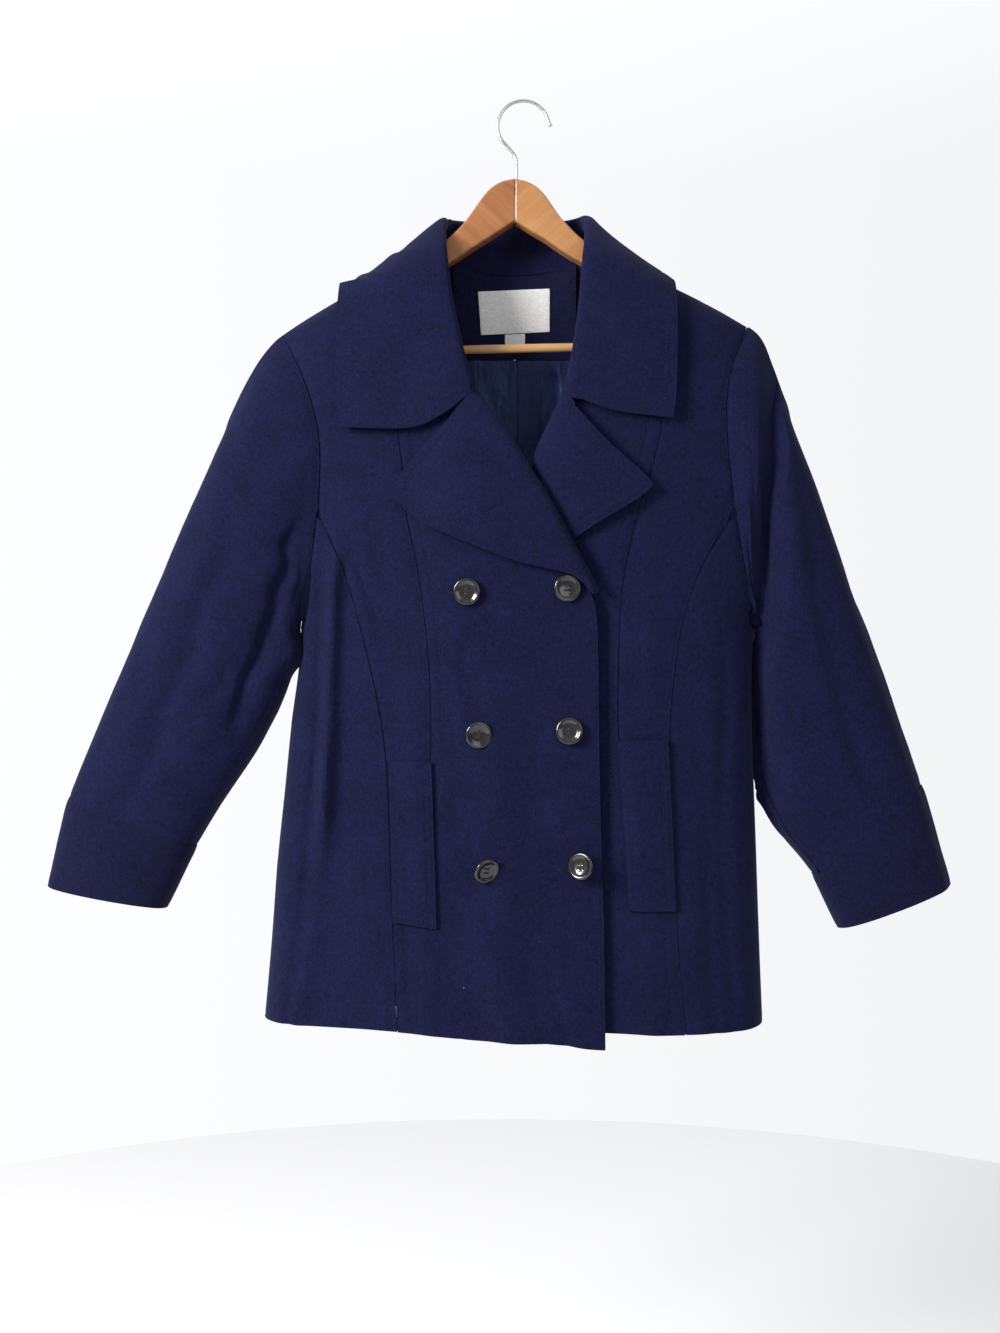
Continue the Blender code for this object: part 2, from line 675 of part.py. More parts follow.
def thick_sheet(name, middle, thickness, slot):
    """A wall of even thickness on both sides of a grid of points."""
    rows, columns = len(middle), len(middle[0])
    skins = [[], []]
    for j in range(rows):
        lines = [[], []]
        for i in range(columns):
            across = middle[j][min(i + 1, columns - 1)] - middle[j][max(i - 1, 0)]
            along = middle[min(j + 1, rows - 1)][i] - middle[max(j - 1, 0)][i]
            normal = across.cross(along).normalized()
            lines[0].append(middle[j][i] + normal * thickness / 2)
            lines[1].append(middle[j][i] - normal * thickness / 2)
        for skin, line in zip(skins, lines):
            skin.append(line)
    return grid_wall(name, *skins, slot)


# Stations of the collar from the front of one side to the centre back: the roll's extreme, the
# neck seam under it, the fall's lift near the roll, and the fall's edge.
# Columns: roll_x, roll_y, roll_z, seam_x, seam_z, fall_lift, edge_x, edge_arc, edge_lift.
COLLAR = {
    RIGHT: [
        (-48, None, -256, None, -256, 7.3, -169.4, -128, 8),
        (-56, None, -221, None, -221, 7.3, -169.8, -98, 8.5),
        (-62.8, None, -186, None, -186, 8.0, -169.5, -64, 9),
        (-66.2, -29, -150, None, -150, 11, -168.5, -32, 12.5),
        (-67.5, 2, -112, -79, None, 15, -166, 3, 13.3),
        (-58, 25, -108, -64, None, 20.5, -139, 48, 13),
        (-34, 38, -105, -38, None, 23.0, -84, 80, 13),
    ],
    LEFT: [
        (53, None, -258, None, -258, 7.3, 151.5, -134, 8.5),
        (59, None, -223, None, -223, 7.3, 152.5, -102, 9.5),
        (62.8, None, -187, None, -187, 8.0, 153, -68, 9.5),
        (65.8, -29, -151, None, -151, 10.5, 153, -35, 9.5),
        (68.5, 2, -110, 79, None, 15.0, 151, 2, 8.5),
        (58, 25, -107, 64, None, 20.0, 129, 47, 9),
        (34, 38, -105, 38, None, 23.0, 79, 80, 13),
    ],
}
COLLAR_CENTER = (0, 42, -104, 0, None, 24.0, 0, 96, 15)
# The front end of the collar: roll, gorge, notch, and the bottom edge to the corner.
COLLAR_END = {
    RIGHT: ((-40.7, -286.4), (-64.5, -311.6), (-80, -323), (-122, -322.9), (-163, -320.5)),
    LEFT: ((46.3, -288.7), (63.4, -305.4), (88.6, -306.2), (117, -308.6), (148.5, -312)),
}
BACK_ROLL = 5.5             # radius of the roll behind the neck
ROLL_TURNS = {"front": (-90, -72, -50, -25, 0, 45, 90), "back": (-90, -45, 0, 45, 90)}


def front_surface(side, x, z, lift):
    """A point above a front, which may be the raised part of the right one."""
    point = body_place(FRONT, side, x, z)
    return Vector((x, point.y - lift, z))


def rolled_section(roll, seam_point, fall, along, radius, front):
    """A section from the neck seam, round the roll and down the fall.

    along is the roll line's direction. In front the seam lies under the roll; behind the neck
    the stand rises from it.
    """
    out = roll - (seam_point + fall[0]) / 2
    out = (out - along * out.dot(along)).normalized()
    up = along.cross(out)
    if up.dot(fall[0] - seam_point) < 0:
        up = -up
    core = roll - out * radius
    turned = []
    for degrees in ROLL_TURNS["front" if front else "back"]:
        angle = math.radians(degrees)
        turned.append(core + (out * math.cos(angle) + up * math.sin(angle)) * radius)
    if front:
        turned[0] = seam_point
        return turned + fall[1:]
    stand = seam_point.lerp(turned[0], 0.5)
    return [seam_point, stand] + turned + fall[1:]


def collar_roll(side, row):
    """The roll's extreme point, and the arc it has on the shoulders."""
    roll_x, roll_y, roll_z = row[:3]
    if roll_y is None:
        return front_surface(side, roll_x, roll_z, ROLL_RADIUS - CLOTH / 2), arc_of(roll_x, roll_z)
    return Vector((roll_x, roll_y, roll_z)), arc_of(roll_x, roll_z) if roll_y < -10 else roll_y


def collar_section(side, row, along):
    roll_x, roll_y, roll_z, seam_x, seam_z, fall_lift, edge_x, edge_arc, edge_lift = row
    roll, roll_arc = collar_roll(side, row)
    if seam_z is None:
        neck_z = BACK_NECK.at("z", seam_x)
        neck = body_place(BACK, side, seam_x, neck_z)
        seam_point = Vector((seam_x, neck.y - CLOTH / 2, neck_z + NECK_SEAM_GAP + 1.5))
    else:
        neck_x = FRONT_EDGE[side].at("x", seam_z) - side * NECK_SEAM_GAP
        seam_point = front_surface(side, neck_x, seam_z, -CLOTH / 2)
    fall = []
    for share in (0.1, 0.36, 0.68, 1.0):
        x = roll_x + (edge_x - roll_x) * share
        arc = roll_arc + (edge_arc - roll_arc) * share
        lift = fall_lift + (edge_lift - fall_lift) * share
        fall.append(arc_point(x, arc, lift))
    front = roll_y is None
    return rolled_section(roll, seam_point, fall, along, ROLL_RADIUS if front else BACK_ROLL, front)


def collar_end_section(side, along):
    """The front end: the gorge, the notch and the bottom edge of the fall."""
    places = COLLAR_END[side]
    roll_x, roll_z = places[0]
    roll = front_surface(side, roll_x, roll_z, ROLL_RADIUS - CLOTH / 2)
    neck_x = FRONT_EDGE[side].at("x", roll_z) - side * NECK_SEAM_GAP
    seam_point = front_surface(side, neck_x, roll_z, -CLOTH / 2)
    lift = 2 * ROLL_RADIUS - CLOTH / 2
    fall = [front_surface(side, roll_x + side * 7, roll_z - 7, lift)]
    fall += [front_surface(side, x, z, lift + 0.3) for x, z in places[1:]]
    return rolled_section(roll, seam_point, fall[:1] + fall[2:], along, ROLL_RADIUS, True)


def collar_stations(side):
    """The sections of one side, front end first."""
    rolls = [front_surface(side, *COLLAR_END[side][0], ROLL_RADIUS - CLOTH / 2)]
    rolls += [collar_roll(side, row)[0] for row in COLLAR[side]]
    rolls.append(collar_roll(side, COLLAR_CENTER)[0])
    sections = []
    for place in range(len(rolls) - 1):
        along = (rolls[place + 1] - rolls[max(place - 1, 0)]).normalized()
        if place == 0:
            sections.append(collar_end_section(side, along))
        else:
            sections.append(collar_section(side, COLLAR[side][place - 1], along))
    return sections


COLLAR_ROWS = 33


def make_collar():
    center = collar_section(RIGHT, COLLAR_CENTER, Vector((1, 0, 0)))
    stations = collar_stations(RIGHT) + [center] + collar_stations(LEFT)[::-1]
    lines = [through(list(line), COLLAR_ROWS) for line in zip(*stations)]
    thick_sheet("collar", [list(row) for row in zip(*lines)], DOUBLE_CLOTH, "melton")


# Lapels: a fan of rows from the roll line to the outer edge, gorge first.
LAPEL_ROLL = {
    RIGHT: [(-39.4, -289.2), (-23.9, -303.6), (-4.3, -331.9), (12.4, -360), (31.9, -390.9),
            (52.4, -429.8), (61.5, -446), (77.0, -476)],
    LEFT: [(45, -291), (35, -311.2), (24.7, -333.7), (18, -348), (17.5, -360), (24, -380),
           (35, -406), (46, -430)],
}
LAPEL_TOP = {
    RIGHT: [(-39.4, -289.2), (-64.9, -315.3), (-107.7, -359.9), (-117.6, -380)],
    LEFT: [(45, -291), (63.2, -309), (88.3, -333.8), (121.9, -359.2), (130.4, -368.6)],
}
LAPEL_BOTTOM = {
    RIGHT: [(-117.6, -385), (-90.9, -410.1), (-51.8, -427.4), (-1.5, -447.4), (36.7, -455.9),
            (53.4, -459), (62.5, -466.5), (69.5, -475.5)],
    LEFT: [(129.6, -374.5), (116.3, -387.2), (88.2, -404), (60.3, -421.6), (47.5, -433)],
}
LAPEL_SEAM_GAP = 2.0        # from the edge of the front to the lapel's doubled cloth
LAPEL_ROWS = 12
LAPEL_ACROSS = 8


def flat_line(places, count):
    return through([Vector((x, 0, z)) for x, z in places], count)


def make_lapel(side):
    roll = flat_line(LAPEL_ROLL[side], LAPEL_ROWS)
    edge = flat_line(LAPEL_BOTTOM[side], LAPEL_ROWS)
    top = flat_line(LAPEL_TOP[side], LAPEL_ACROSS)
    middle = []
    for j in range(LAPEL_ROWS):
        share = j / (LAPEL_ROWS - 1)
        radius = ROLL_RADIUS * (1 - 0.3 * share)
        full = 2 * radius - CLOTH / 2
        start = roll[j]
        end = edge[j]
        lead = roll[min(j + 1, LAPEL_ROWS - 1)] - roll[max(j - 1, 0)]
        out = Vector((lead.z, 0, -lead.x)).normalized()
        if out.x * side > 0:
            out = -out
        core = start - out * radius
        turned = side == RIGHT or j <= 4
        row = []
        if turned:
            for degrees in (180, 90):
                angle = math.radians(degrees)
                place = core + out * radius * math.sin(angle)
                lift = radius + radius * math.cos(angle) - CLOTH / 2
                row.append(front_surface(side, place.x, place.z, lift))
            row[0] += out * LAPEL_SEAM_GAP
        else:
            row.append(front_surface(side, start.x, start.z, 4.5))
            inside = start + (end - start) * 0.04
            row.append(front_surface(side, inside.x, inside.z, full))
        first = core if turned else start + (end - start) * 0.1
        rest = LAPEL_ACROSS - 2
        for i in range(rest):
            u = i / (rest - 1)
            straight = first + (end - first) * u
            top_place = top[0] + (top[-1] - top[0]) * u
            bent = through([top[0], *top[1:]], rest)[i] - top_place
            place = straight + bent * (1 - share) ** 3
            rise = full + 0.8 * math.sin(math.pi * u) + 1.0 * u
            row.append(front_surface(side, place.x, place.z, rise))
        middle.append(row)
    thick_sheet(f"lapel_{SIDE_NAMES[side]}", middle, DOUBLE_CLOTH, "melton")


# Pocket welts, made from the front's own points moved out.
WELT_LIFT = 1.15
WELTS = {
    RIGHT: ((-120.2, -633.5), (-78.5, -635), (-73.4, -790), (-115.6, -784.5)),
    LEFT: ((95.3, -615.5), (143.6, -614), (150.6, -775), (105.3, -774.5)),
}


def bilinear(corners, u, v):
    top_left, top_right, low_right, low_left = [Vector(corner) for corner in corners]
    return (top_left * (1 - u) + top_right * u) * (1 - v) + (low_left * (1 - u) + low_right * u) * v


def make_welt(side):
    skins = []
    for lift in (WELT_LIFT + 2.4, WELT_LIFT):
        skins.append([[front_surface(side, *bilinear(WELTS[side], u, v), lift) for u in shares(5)]
                      for v in shares(9)])
    grid_wall(f"welt_{SIDE_NAMES[side]}", *skins, "melton")


# Inside the neck.

FACING_BOTTOM = -242.0
LINING_CENTER = 2.4
LINING_HEM = -866.0
LINING_SLACK = 7.0          # how far the lining hangs free of the back below the shoulder blades


def inside_wall(name, left, right, top, bottom, near, far, slot, columns, rows):
    """A wall inside the back, between two distances from the back's outer surface."""
    skins = [[], []]
    for v in shares(rows):
        lines = [[], []]
        for u in shares(columns):
            x = left(v) + (right(v) - left(v)) * u
            z = top(x) + (bottom - top(x)) * v
            point = body_place(BACK, RIGHT if x < 0 else LEFT, x, z, folded=False)
            slack = LINING_SLACK * ease(-260, -400, z)
            for line, distance in zip(lines, (near, far)):
                line.append(Vector((point.x, point.y - distance - slack, point.z)))
        for skin, line in zip(skins, lines):
            skin.append(line)
    grid_wall(name, *skins, slot)


def make_inside():
    fixed = lambda value: (lambda _: value)
    inside_wall("neck_facing", fixed(-61.0), fixed(61.0), lambda x: BACK_NECK.at("z", x) - 1.0,
                FACING_BOTTOM, CLOTH + 1.1, CLOTH + 2.6, "melton", 9, 5)

    def reach(side):
        def edge(v):
            z = FACING_BOTTOM + (LINING_HEM - FACING_BOTTOM) * v
            return side * (92.0 + (half_width(side, z) - 114.0) * ease(0.0, 0.5, v))
        return edge

    for side in (RIGHT, LEFT):
        inner = fixed(LINING_CENTER + side * SEAM_GAP / 2)
        edges = (reach(side), inner) if side == RIGHT else (inner, reach(side))
        inside_wall(f"lining_back_{SIDE_NAMES[side]}", *edges, fixed(FACING_BOTTOM - SEAM_GAP),
                    LINING_HEM, CLOTH + 0.8, CLOTH + 0.8 + SATIN, "satin", 7, 12)


LABEL_CORNERS = ((-36.3, -175.2), (34.6, -172.2), (34.6, -214.6), (-33.3, -217.6))
TAB_CORNERS = ((-9.6, -217.2), (10.2, -216.4), (10.2, -234.0), (-9.6, -234.0))


def make_label(name, corners, near, far):
    skins = [[], []]
    for v in shares(4):
        for skin, distance in zip(skins, (near, far)):
            line = []
            for u in shares(6):
                x, z = bilinear(corners, u, v)
                point = body_place(BACK, RIGHT if x < 0 else LEFT, x, z)
                line.append(Vector((x, point.y - distance, z)))
            skin.append(line)
    grid_wall(name, *skins, "label_satin")


# Buttons: tilt is in degrees, about X and about Z, as each one hangs on its thread.
# Columns: name, x, z, tip, turn, stand.
BUTTONS = [
    ("top_outer", -45.3, -475.7, 4, -5, 0.9),
    ("top_front", 47.8, -472.5, 3, 8, 0.9),
    ("middle_outer", -35.0, -608.9, 10, 12, 3.0),
    ("middle_front", 50.4, -606.0, -5, -7, 1.0),
    ("low_outer", -28.5, -733.9, 24, 30, 7.4),
    ("low_front", 61.8, -731.2, -6, -30, 5.2),
]
# Turned profile from the middle of the face to the middle of the back: radius and height.
BUTTON_PROFILE = [
    (0.0, 2.6), (6.6, 2.7), (8.6, 3.4), (10.6, 4.6), (12.1, 4.2), (12.8, 3.0), (11.6, 1.2), (6.5, 0.2), (0.0, 0.0),
]
BUTTON_SEGMENTS = 20
HOLE_RADIUS = 1.0
HOLE_SPREAD = 2.1


def button_mesh():
    """One turned button, its back at z 0 and its face towards +Z."""
    bm = bmesh.new()
    points = [bm.verts.new(Vector((radius, 0, height)) * MM) for radius, height in BUTTON_PROFILE]
    edges = [bm.edges.new(pair) for pair in zip(points, points[1:])]
    bmesh.ops.spin(bm, geom=points + edges, cent=(0, 0, 0), axis=(0, 0, 1), angle=2 * math.pi,
                   steps=BUTTON_SEGMENTS, use_merge=True)
    bmesh.ops.remove_doubles(bm, verts=bm.verts[:], dist=1e-6)
    return bm


def make_buttons():
    material_for("button_black")
    for name, x, z, tip, turn, stand in BUTTONS:
        obj = keep(f"button_{name}", button_mesh(), "button_black")
        place = body_place(FRONT, RIGHT, x, z)
        face_out = Matrix.Rotation(math.radians(90), 4, "X")
        lean = Matrix.Rotation(math.radians(turn), 4, "Z") @ Matrix.Rotation(math.radians(tip), 4, "X")
        obj.matrix_world = Matrix.Translation(Vector((x, place.y - stand, z)) * MM) @ lean @ face_out
        cutters = bmesh.new()
        for column in (-1, 1):
            for row in (-1, 1):
                spot = Matrix.Translation(Vector((column, row, 0)) * HOLE_SPREAD * MM)
                bmesh.ops.create_cone(cutters, cap_ends=True, segments=8, radius1=HOLE_RADIUS * MM,
                                      radius2=HOLE_RADIUS * MM, depth=12 * MM, matrix=spot)
        cut(obj, cutters, f"holes_{name}")


def cut(obj, bm, name):
    """Take a bmesh's shape out of an object with a Boolean."""
    mesh = bpy.data.meshes.new(name)
    bm.to_mesh(mesh)
    bm.free()
    cutter = bpy.data.objects.new(name, mesh)
    cutter.matrix_world = obj.matrix_world
    cutter.hide_render = True
    cutter.display_type = "WIRE"
    bpy.context.scene.collection.objects.link(cutter)
    modifier = obj.modifiers.new("cut", "BOOLEAN")
    modifier.operation = "DIFFERENCE"
    modifier.object = cutter


# The hanger.

ARM = {
    RIGHT: Table(("x", "top", "bottom", "half"), [
        (0.2, -74.5, -116.0, 10), (13, -77, -124.5, 10), (26, -85.5, -133, 10), (38, -101.5, -140.5, 10),
        (51, -119.5, -149, 10), (67, -134, -159, 10), (95, -150.5, -178, 10), (126, -170, -199.5, 10),
        (160, -191, -224, 10), (188, -208.5, -245, 9.5), (203, -218.5, -253, 8), (211, -226, -249, 5),
    ]),
    LEFT: Table(("x", "top", "bottom", "half"), [
        (0.2, -74.5, -116.0, 10), (13, -77.5, -124.5, 10), (28, -88.5, -133, 10), (40, -107, -141.5, 10),
        (53, -122, -150, 10), (67, -134.5, -157.5, 10), (95, -151, -176, 10), (126, -170, -197, 10),
        (160, -189.5, -219, 10), (188, -204, -237.5, 9.5), (203, -213, -246, 8), (211, -219.5, -242, 5),
    ]),
}
ARM_STATIONS = [0.2, 7, 13, 20, 27, 34, 41, 49, 58, 67, 84, 105, 126, 146, 164, 180, 192, 201, 207, 211]
ARM_CORNER = 3.2
BAR_ENDS = (Vector((-191, 0, -241.5)), Vector((191, 0, -233.0)))
BAR_RADIUS = 4.3
STEM_X = 1.4
STEM_DEPTH = 14.0           # how far the hook's stem goes down into the wood


def arm_section(side, reach):
    """A rounded upright oblong, square to the arm's run."""
    top, bottom, half = (ARM[side].at(name, reach) for name in ("top", "bottom", "half"))
    corner = min(ARM_CORNER, half * 0.6)
    steps = (0, 30, 60, 90)
    ring = []
    for sign_y, sign_z, turned in ((1, 1, False), (-1, 1, True), (-1, -1, False), (1, -1, True)):
        z = top - corner if sign_z > 0 else bottom + corner
        for degrees in (reversed(steps) if turned else steps):
            angle = math.radians(degrees)
            ring.append(Vector((side * reach, sign_y * (half - corner + corner * math.cos(angle)),
                                z + sign_z * corner * math.sin(angle))))
    return ring


def make_arm(side):
    bm = bmesh.new()
    rings = [[bm.verts.new(point * MM) for point in arm_section(side, reach)] for reach in ARM_STATIONS]
    count = len(rings[0])
    for near, far in zip(rings, rings[1:]):
        for i in range(count):
            k = (i + 1) % count
            bm.faces.new((near[i], near[k], far[k], far[i]))
    bm.faces.new(rings[0])
    bm.faces.new(rings[-1])
    arm = keep(f"hanger_arm_{SIDE_NAMES[side]}", bm, "beech")

    holes = bmesh.new()
    clearance = SEAM_GAP
    stem_top = Matrix.Translation(Vector((STEM_X, 0, -74.5)) * MM)
    bmesh.ops.create_cone(holes, cap_ends=True, segments=12, radius1=(HOOK_WIRE / 2 + clearance) * MM,
                          radius2=(HOOK_WIRE / 2 + clearance) * MM, depth=2 * (STEM_DEPTH + 1) * MM,
                          matrix=stem_top)
    end = BAR_ENDS[0] if side == RIGHT else BAR_ENDS[1]
    run = (BAR_ENDS[1] - BAR_ENDS[0]).normalized()
    along_bar = run.to_track_quat("Z", "Y").to_matrix().to_4x4()
    middle = Matrix.Translation((end - side * run * 30) * MM)
    bmesh.ops.create_cone(holes, cap_ends=True, segments=14, radius1=(BAR_RADIUS + clearance) * MM,
                          radius2=(BAR_RADIUS + clearance) * MM, depth=(60 + 2 * clearance) * MM,
                          matrix=middle @ along_bar)
    cut(arm, holes, f"arm_holes_{SIDE_NAMES[side]}")


def tube(name, route, radius, sides, slot):
    """A round rod along a list of points, with flat ends."""
    bm = bmesh.new()
    rings = []
    for i, point in enumerate(route):
        run = (route[min(i + 1, len(route) - 1)] - route[max(i - 1, 0)]).normalized()
        across = run.cross(Vector((0, 1, 0))).normalized()
        rise = run.cross(across)
        ring = []
        for k in range(sides):
            angle = 2 * math.pi * k / sides
            ring.append(bm.verts.new((point + (across * math.cos(angle) + rise * math.sin(angle)) * radius) * MM))
        rings.append(ring)
    for near, far in zip(rings, rings[1:]):
        for k in range(sides):
            bm.faces.new((near[k], near[(k + 1) % sides], far[(k + 1) % sides], far[k]))
    bm.faces.new(rings[0])
    bm.faces.new(rings[-1])
    return keep(name, bm, slot)


HOOK_RADIUS = 25.0
HOOK_CENTER = Vector((8.0, 0, 0))       # its height follows from the origin, below
HOOK_START = 214.0                      # degrees round the hook where the stem's curve joins it
HOOK_END = 8.0


def make_hanger():
    make_arm(RIGHT)
    make_arm(LEFT)
    tube("hanger_bar", [BAR_ENDS[0].lerp(BAR_ENDS[1], t) for t in (0, 0.25, 0.5, 0.75, 1)],
         BAR_RADIUS, 14, "beech")
    bearing = HOOK_RADIUS - HOOK_WIRE / 2
    center_z = -math.sqrt(bearing ** 2 - HOOK_CENTER.x ** 2)
    center = Vector((HOOK_CENTER.x, 0, center_z))
    stem = [Vector((STEM_X, 0, z)) for z in (-74.5 - STEM_DEPTH, -80, -66, -58)]
    stem += [Vector((STEM_X - 0.6, 0, -51)), Vector((-3.5, 0, -45.5))]
    arc = []
    for i in range(19):
        angle = math.radians(HOOK_START + (HOOK_END - HOOK_START) * i / 18)
        arc.append(center + Vector((math.cos(angle), 0, math.sin(angle))) * HOOK_RADIUS)
    arc.append(arc[-1] + Vector((2.2, 0, -3.5)))
    tube("hanger_hook", stem + arc, HOOK_WIRE / 2, 10, "hook_steel")


def main():
    for obj in list(bpy.data.objects):
        bpy.data.objects.remove(obj)
    for side in (RIGHT, LEFT):
        make_front(side)
        make_back(side)
        make_sleeve(side)
        make_lapel(side)
        make_welt(side)
    make_collar()
    make_inside()
    make_label("neck_label", LABEL_CORNERS, CLOTH + 2.9, CLOTH + 3.8)
    make_label("size_tab", TAB_CORNERS, CLOTH + 2.9, CLOTH + 3.6)
    make_buttons()
    make_hanger()


main()
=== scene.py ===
import json
import math

import bmesh
import bpy
from mathutils import Matrix, Vector, noise
from mathutils.bvhtree import BVHTree
from mathutils.kdtree import KDTree


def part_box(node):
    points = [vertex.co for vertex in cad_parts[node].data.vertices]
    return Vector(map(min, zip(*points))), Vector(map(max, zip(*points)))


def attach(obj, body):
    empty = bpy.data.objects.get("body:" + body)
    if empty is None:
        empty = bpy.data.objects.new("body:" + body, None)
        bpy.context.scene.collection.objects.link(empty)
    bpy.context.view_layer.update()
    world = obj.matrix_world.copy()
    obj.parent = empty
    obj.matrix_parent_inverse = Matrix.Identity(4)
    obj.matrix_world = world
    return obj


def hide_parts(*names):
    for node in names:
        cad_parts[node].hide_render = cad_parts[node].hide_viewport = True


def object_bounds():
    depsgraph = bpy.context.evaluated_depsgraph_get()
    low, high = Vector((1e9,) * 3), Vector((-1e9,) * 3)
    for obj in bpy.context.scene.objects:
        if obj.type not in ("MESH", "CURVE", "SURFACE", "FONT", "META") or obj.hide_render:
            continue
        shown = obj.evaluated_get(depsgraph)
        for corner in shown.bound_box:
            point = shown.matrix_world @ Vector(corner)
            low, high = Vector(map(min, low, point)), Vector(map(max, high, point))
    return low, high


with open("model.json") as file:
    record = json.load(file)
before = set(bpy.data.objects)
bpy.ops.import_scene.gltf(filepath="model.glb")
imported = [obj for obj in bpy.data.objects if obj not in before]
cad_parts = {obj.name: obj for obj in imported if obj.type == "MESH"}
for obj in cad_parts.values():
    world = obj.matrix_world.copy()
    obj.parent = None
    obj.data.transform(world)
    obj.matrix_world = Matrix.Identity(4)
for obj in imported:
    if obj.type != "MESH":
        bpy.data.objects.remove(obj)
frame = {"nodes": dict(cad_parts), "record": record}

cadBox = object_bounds()
nodes = frame["nodes"]
mm = 0.001
print("frame loaded")


# node tree helpers

def newGroup(name, inputs, outputs):
    tree = bpy.data.node_groups.new(name, "ShaderNodeTree")
    for label, kind, value in inputs:
        socket = tree.interface.new_socket(label, in_out="INPUT", socket_type="NodeSocket" + kind)
        socket.default_value = value
    for label, kind in outputs:
        tree.interface.new_socket(label, in_out="OUTPUT", socket_type="NodeSocket" + kind)
    return tree, tree.nodes.new("NodeGroupInput"), tree.nodes.new("NodeGroupOutput")


def noiseNode(tree, vector, scale, detail=2.0, rough=0.5):
    node = tree.nodes.new("ShaderNodeTexNoise")
    node.inputs["Scale"].default_value = scale
    node.inputs["Detail"].default_value = detail
    node.inputs["Roughness"].default_value = rough
    tree.links.new(vector, node.inputs["Vector"])
    return node.outputs["Fac"]


def mathNode(tree, operation, first, second=None, clamp=False):
    node = tree.nodes.new("ShaderNodeMath")
    node.operation = operation
    node.use_clamp = clamp
    for place, value in enumerate((first, second)):
        if isinstance(value, (int, float)):
            node.inputs[place].default_value = value
        elif value is not None:
            tree.links.new(value, node.inputs[place])
    return node.outputs[0]


def rangeNode(tree, value, low, high, toLow, toHigh):
    node = tree.nodes.new("ShaderNodeMapRange")
    for label, number in (("From Min", low), ("From Max", high), ("To Min", toLow), ("To Max", toHigh)):
        node.inputs[label].default_value = number
    tree.links.new(value, node.inputs["Value"])
    return node.outputs["Result"]


def mixNode(tree, factor, first, second, blend="MIX"):
    node = tree.nodes.new("ShaderNodeMix")
    node.data_type = "RGBA"
    node.blend_type = blend
    for label, value in ((0, factor), (6, first), (7, second)):
        if isinstance(value, (int, float, tuple)):
            node.inputs[label].default_value = value
        else:
            tree.links.new(value, node.inputs[label])
    return node.outputs[2]


def stretched(tree, vector, scale):
    node = tree.nodes.new("ShaderNodeMapping")
    node.inputs["Scale"].default_value = scale
    tree.links.new(vector, node.inputs["Vector"])
    return node.outputs["Vector"]


# felted wool: matted fibres, cloudy nap and a few pale specks of lint

def makeFeltGroup():
    tree, given, result = newGroup("feltedNap", [
        ("Vector", "Vector", (0, 0, 0)), ("Color", "Color", (0.02, 0.02, 0.07, 1)),
        ("Clouds", "Float", 0.3), ("Lint", "Float", 1.0)],
        [("Color", "Color"), ("Roughness", "Float"), ("Height", "Float")])
    vector = given.outputs["Vector"]
    fibres = noiseNode(tree, stretched(tree, vector, (1.0, 1.0, 0.62)), 820, 3.0, 0.65)
    tufts = noiseNode(tree, vector, 230, 2.0, 0.6)
    clouds = noiseNode(tree, vector, 26, 3.0, 0.55)
    light = mathNode(tree, "ADD", rangeNode(tree, fibres, 0.3, 0.7, -0.42, 0.42),
                     rangeNode(tree, tufts, 0.3, 0.7, -0.3, 0.3))
    cloudy = mathNode(tree, "MULTIPLY", rangeNode(tree, clouds, 0.25, 0.75, -1.0, 1.0),
                      given.outputs["Clouds"])
    factor = mathNode(tree, "ADD", mathNode(tree, "ADD", light, cloudy), 1.0)
    shade = tree.nodes.new("ShaderNodeCombineColor")
    for label in ("Red", "Green", "Blue"):
        tree.links.new(factor, shade.inputs[label])
    napped = mixNode(tree, 1.0, given.outputs["Color"], shade.outputs["Color"], "MULTIPLY")
    specks = tree.nodes.new("ShaderNodeTexVoronoi")
    specks.inputs["Scale"].default_value = 38
    tree.links.new(vector, specks.inputs["Vector"])
    dots = rangeNode(tree, specks.outputs["Distance"], 0.011, 0.022, 1.0, 0.0)
    rare = rangeNode(tree, noiseNode(tree, vector, 9, 0.0), 0.66, 0.7, 0.0, 1.0)
    lint = mathNode(tree, "MULTIPLY", mathNode(tree, "MULTIPLY", dots, rare), given.outputs["Lint"], True)
    color = mixNode(tree, lint, napped, (0.2, 0.2, 0.24, 1))
    tree.links.new(color, result.inputs["Color"])
    tree.links.new(rangeNode(tree, tufts, 0.3, 0.7, 0.84, 1.0), result.inputs["Roughness"])
    height = mathNode(tree, "ADD", mathNode(tree, "MULTIPLY", fibres, 0.6),
                      mathNode(tree, "MULTIPLY", tufts, 0.55))
    tree.links.new(height, result.inputs["Height"])
    return tree


# satin: fine threads across, and soft crumples

def makeSatinGroup():
    tree, given, result = newGroup("satinThreads", [
        ("Vector", "Vector", (0, 0, 0)), ("Color", "Color", (0.012, 0.013, 0.036, 1)),
        ("Crumple", "Float", 1.0)],
        [("Color", "Color"), ("Roughness", "Float"), ("Height", "Float")])
    vector = given.outputs["Vector"]
    threads = noiseNode(tree, stretched(tree, vector, (0.15, 1.0, 1.0)), 2600, 1.0)
    crumple = noiseNode(tree, stretched(tree, vector, (1.0, 0.4, 0.45)), 42, 3.0, 0.5)
    shade = mixNode(tree, rangeNode(tree, threads, 0.3, 0.7, 0.0, 0.35), given.outputs["Color"],
                    (0.045, 0.05, 0.11, 1))
    tree.links.new(shade, result.inputs["Color"])
    tree.links.new(rangeNode(tree, crumple, 0.3, 0.7, 0.3, 0.46), result.inputs["Roughness"])
    height = mathNode(tree, "ADD", mathNode(tree, "MULTIPLY", crumple, given.outputs["Crumple"]),
                      mathNode(tree, "MULTIPLY", threads, 0.05))
    tree.links.new(height, result.inputs["Height"])
    return tree


# wood: long wavy grain along one axis, with fine pores

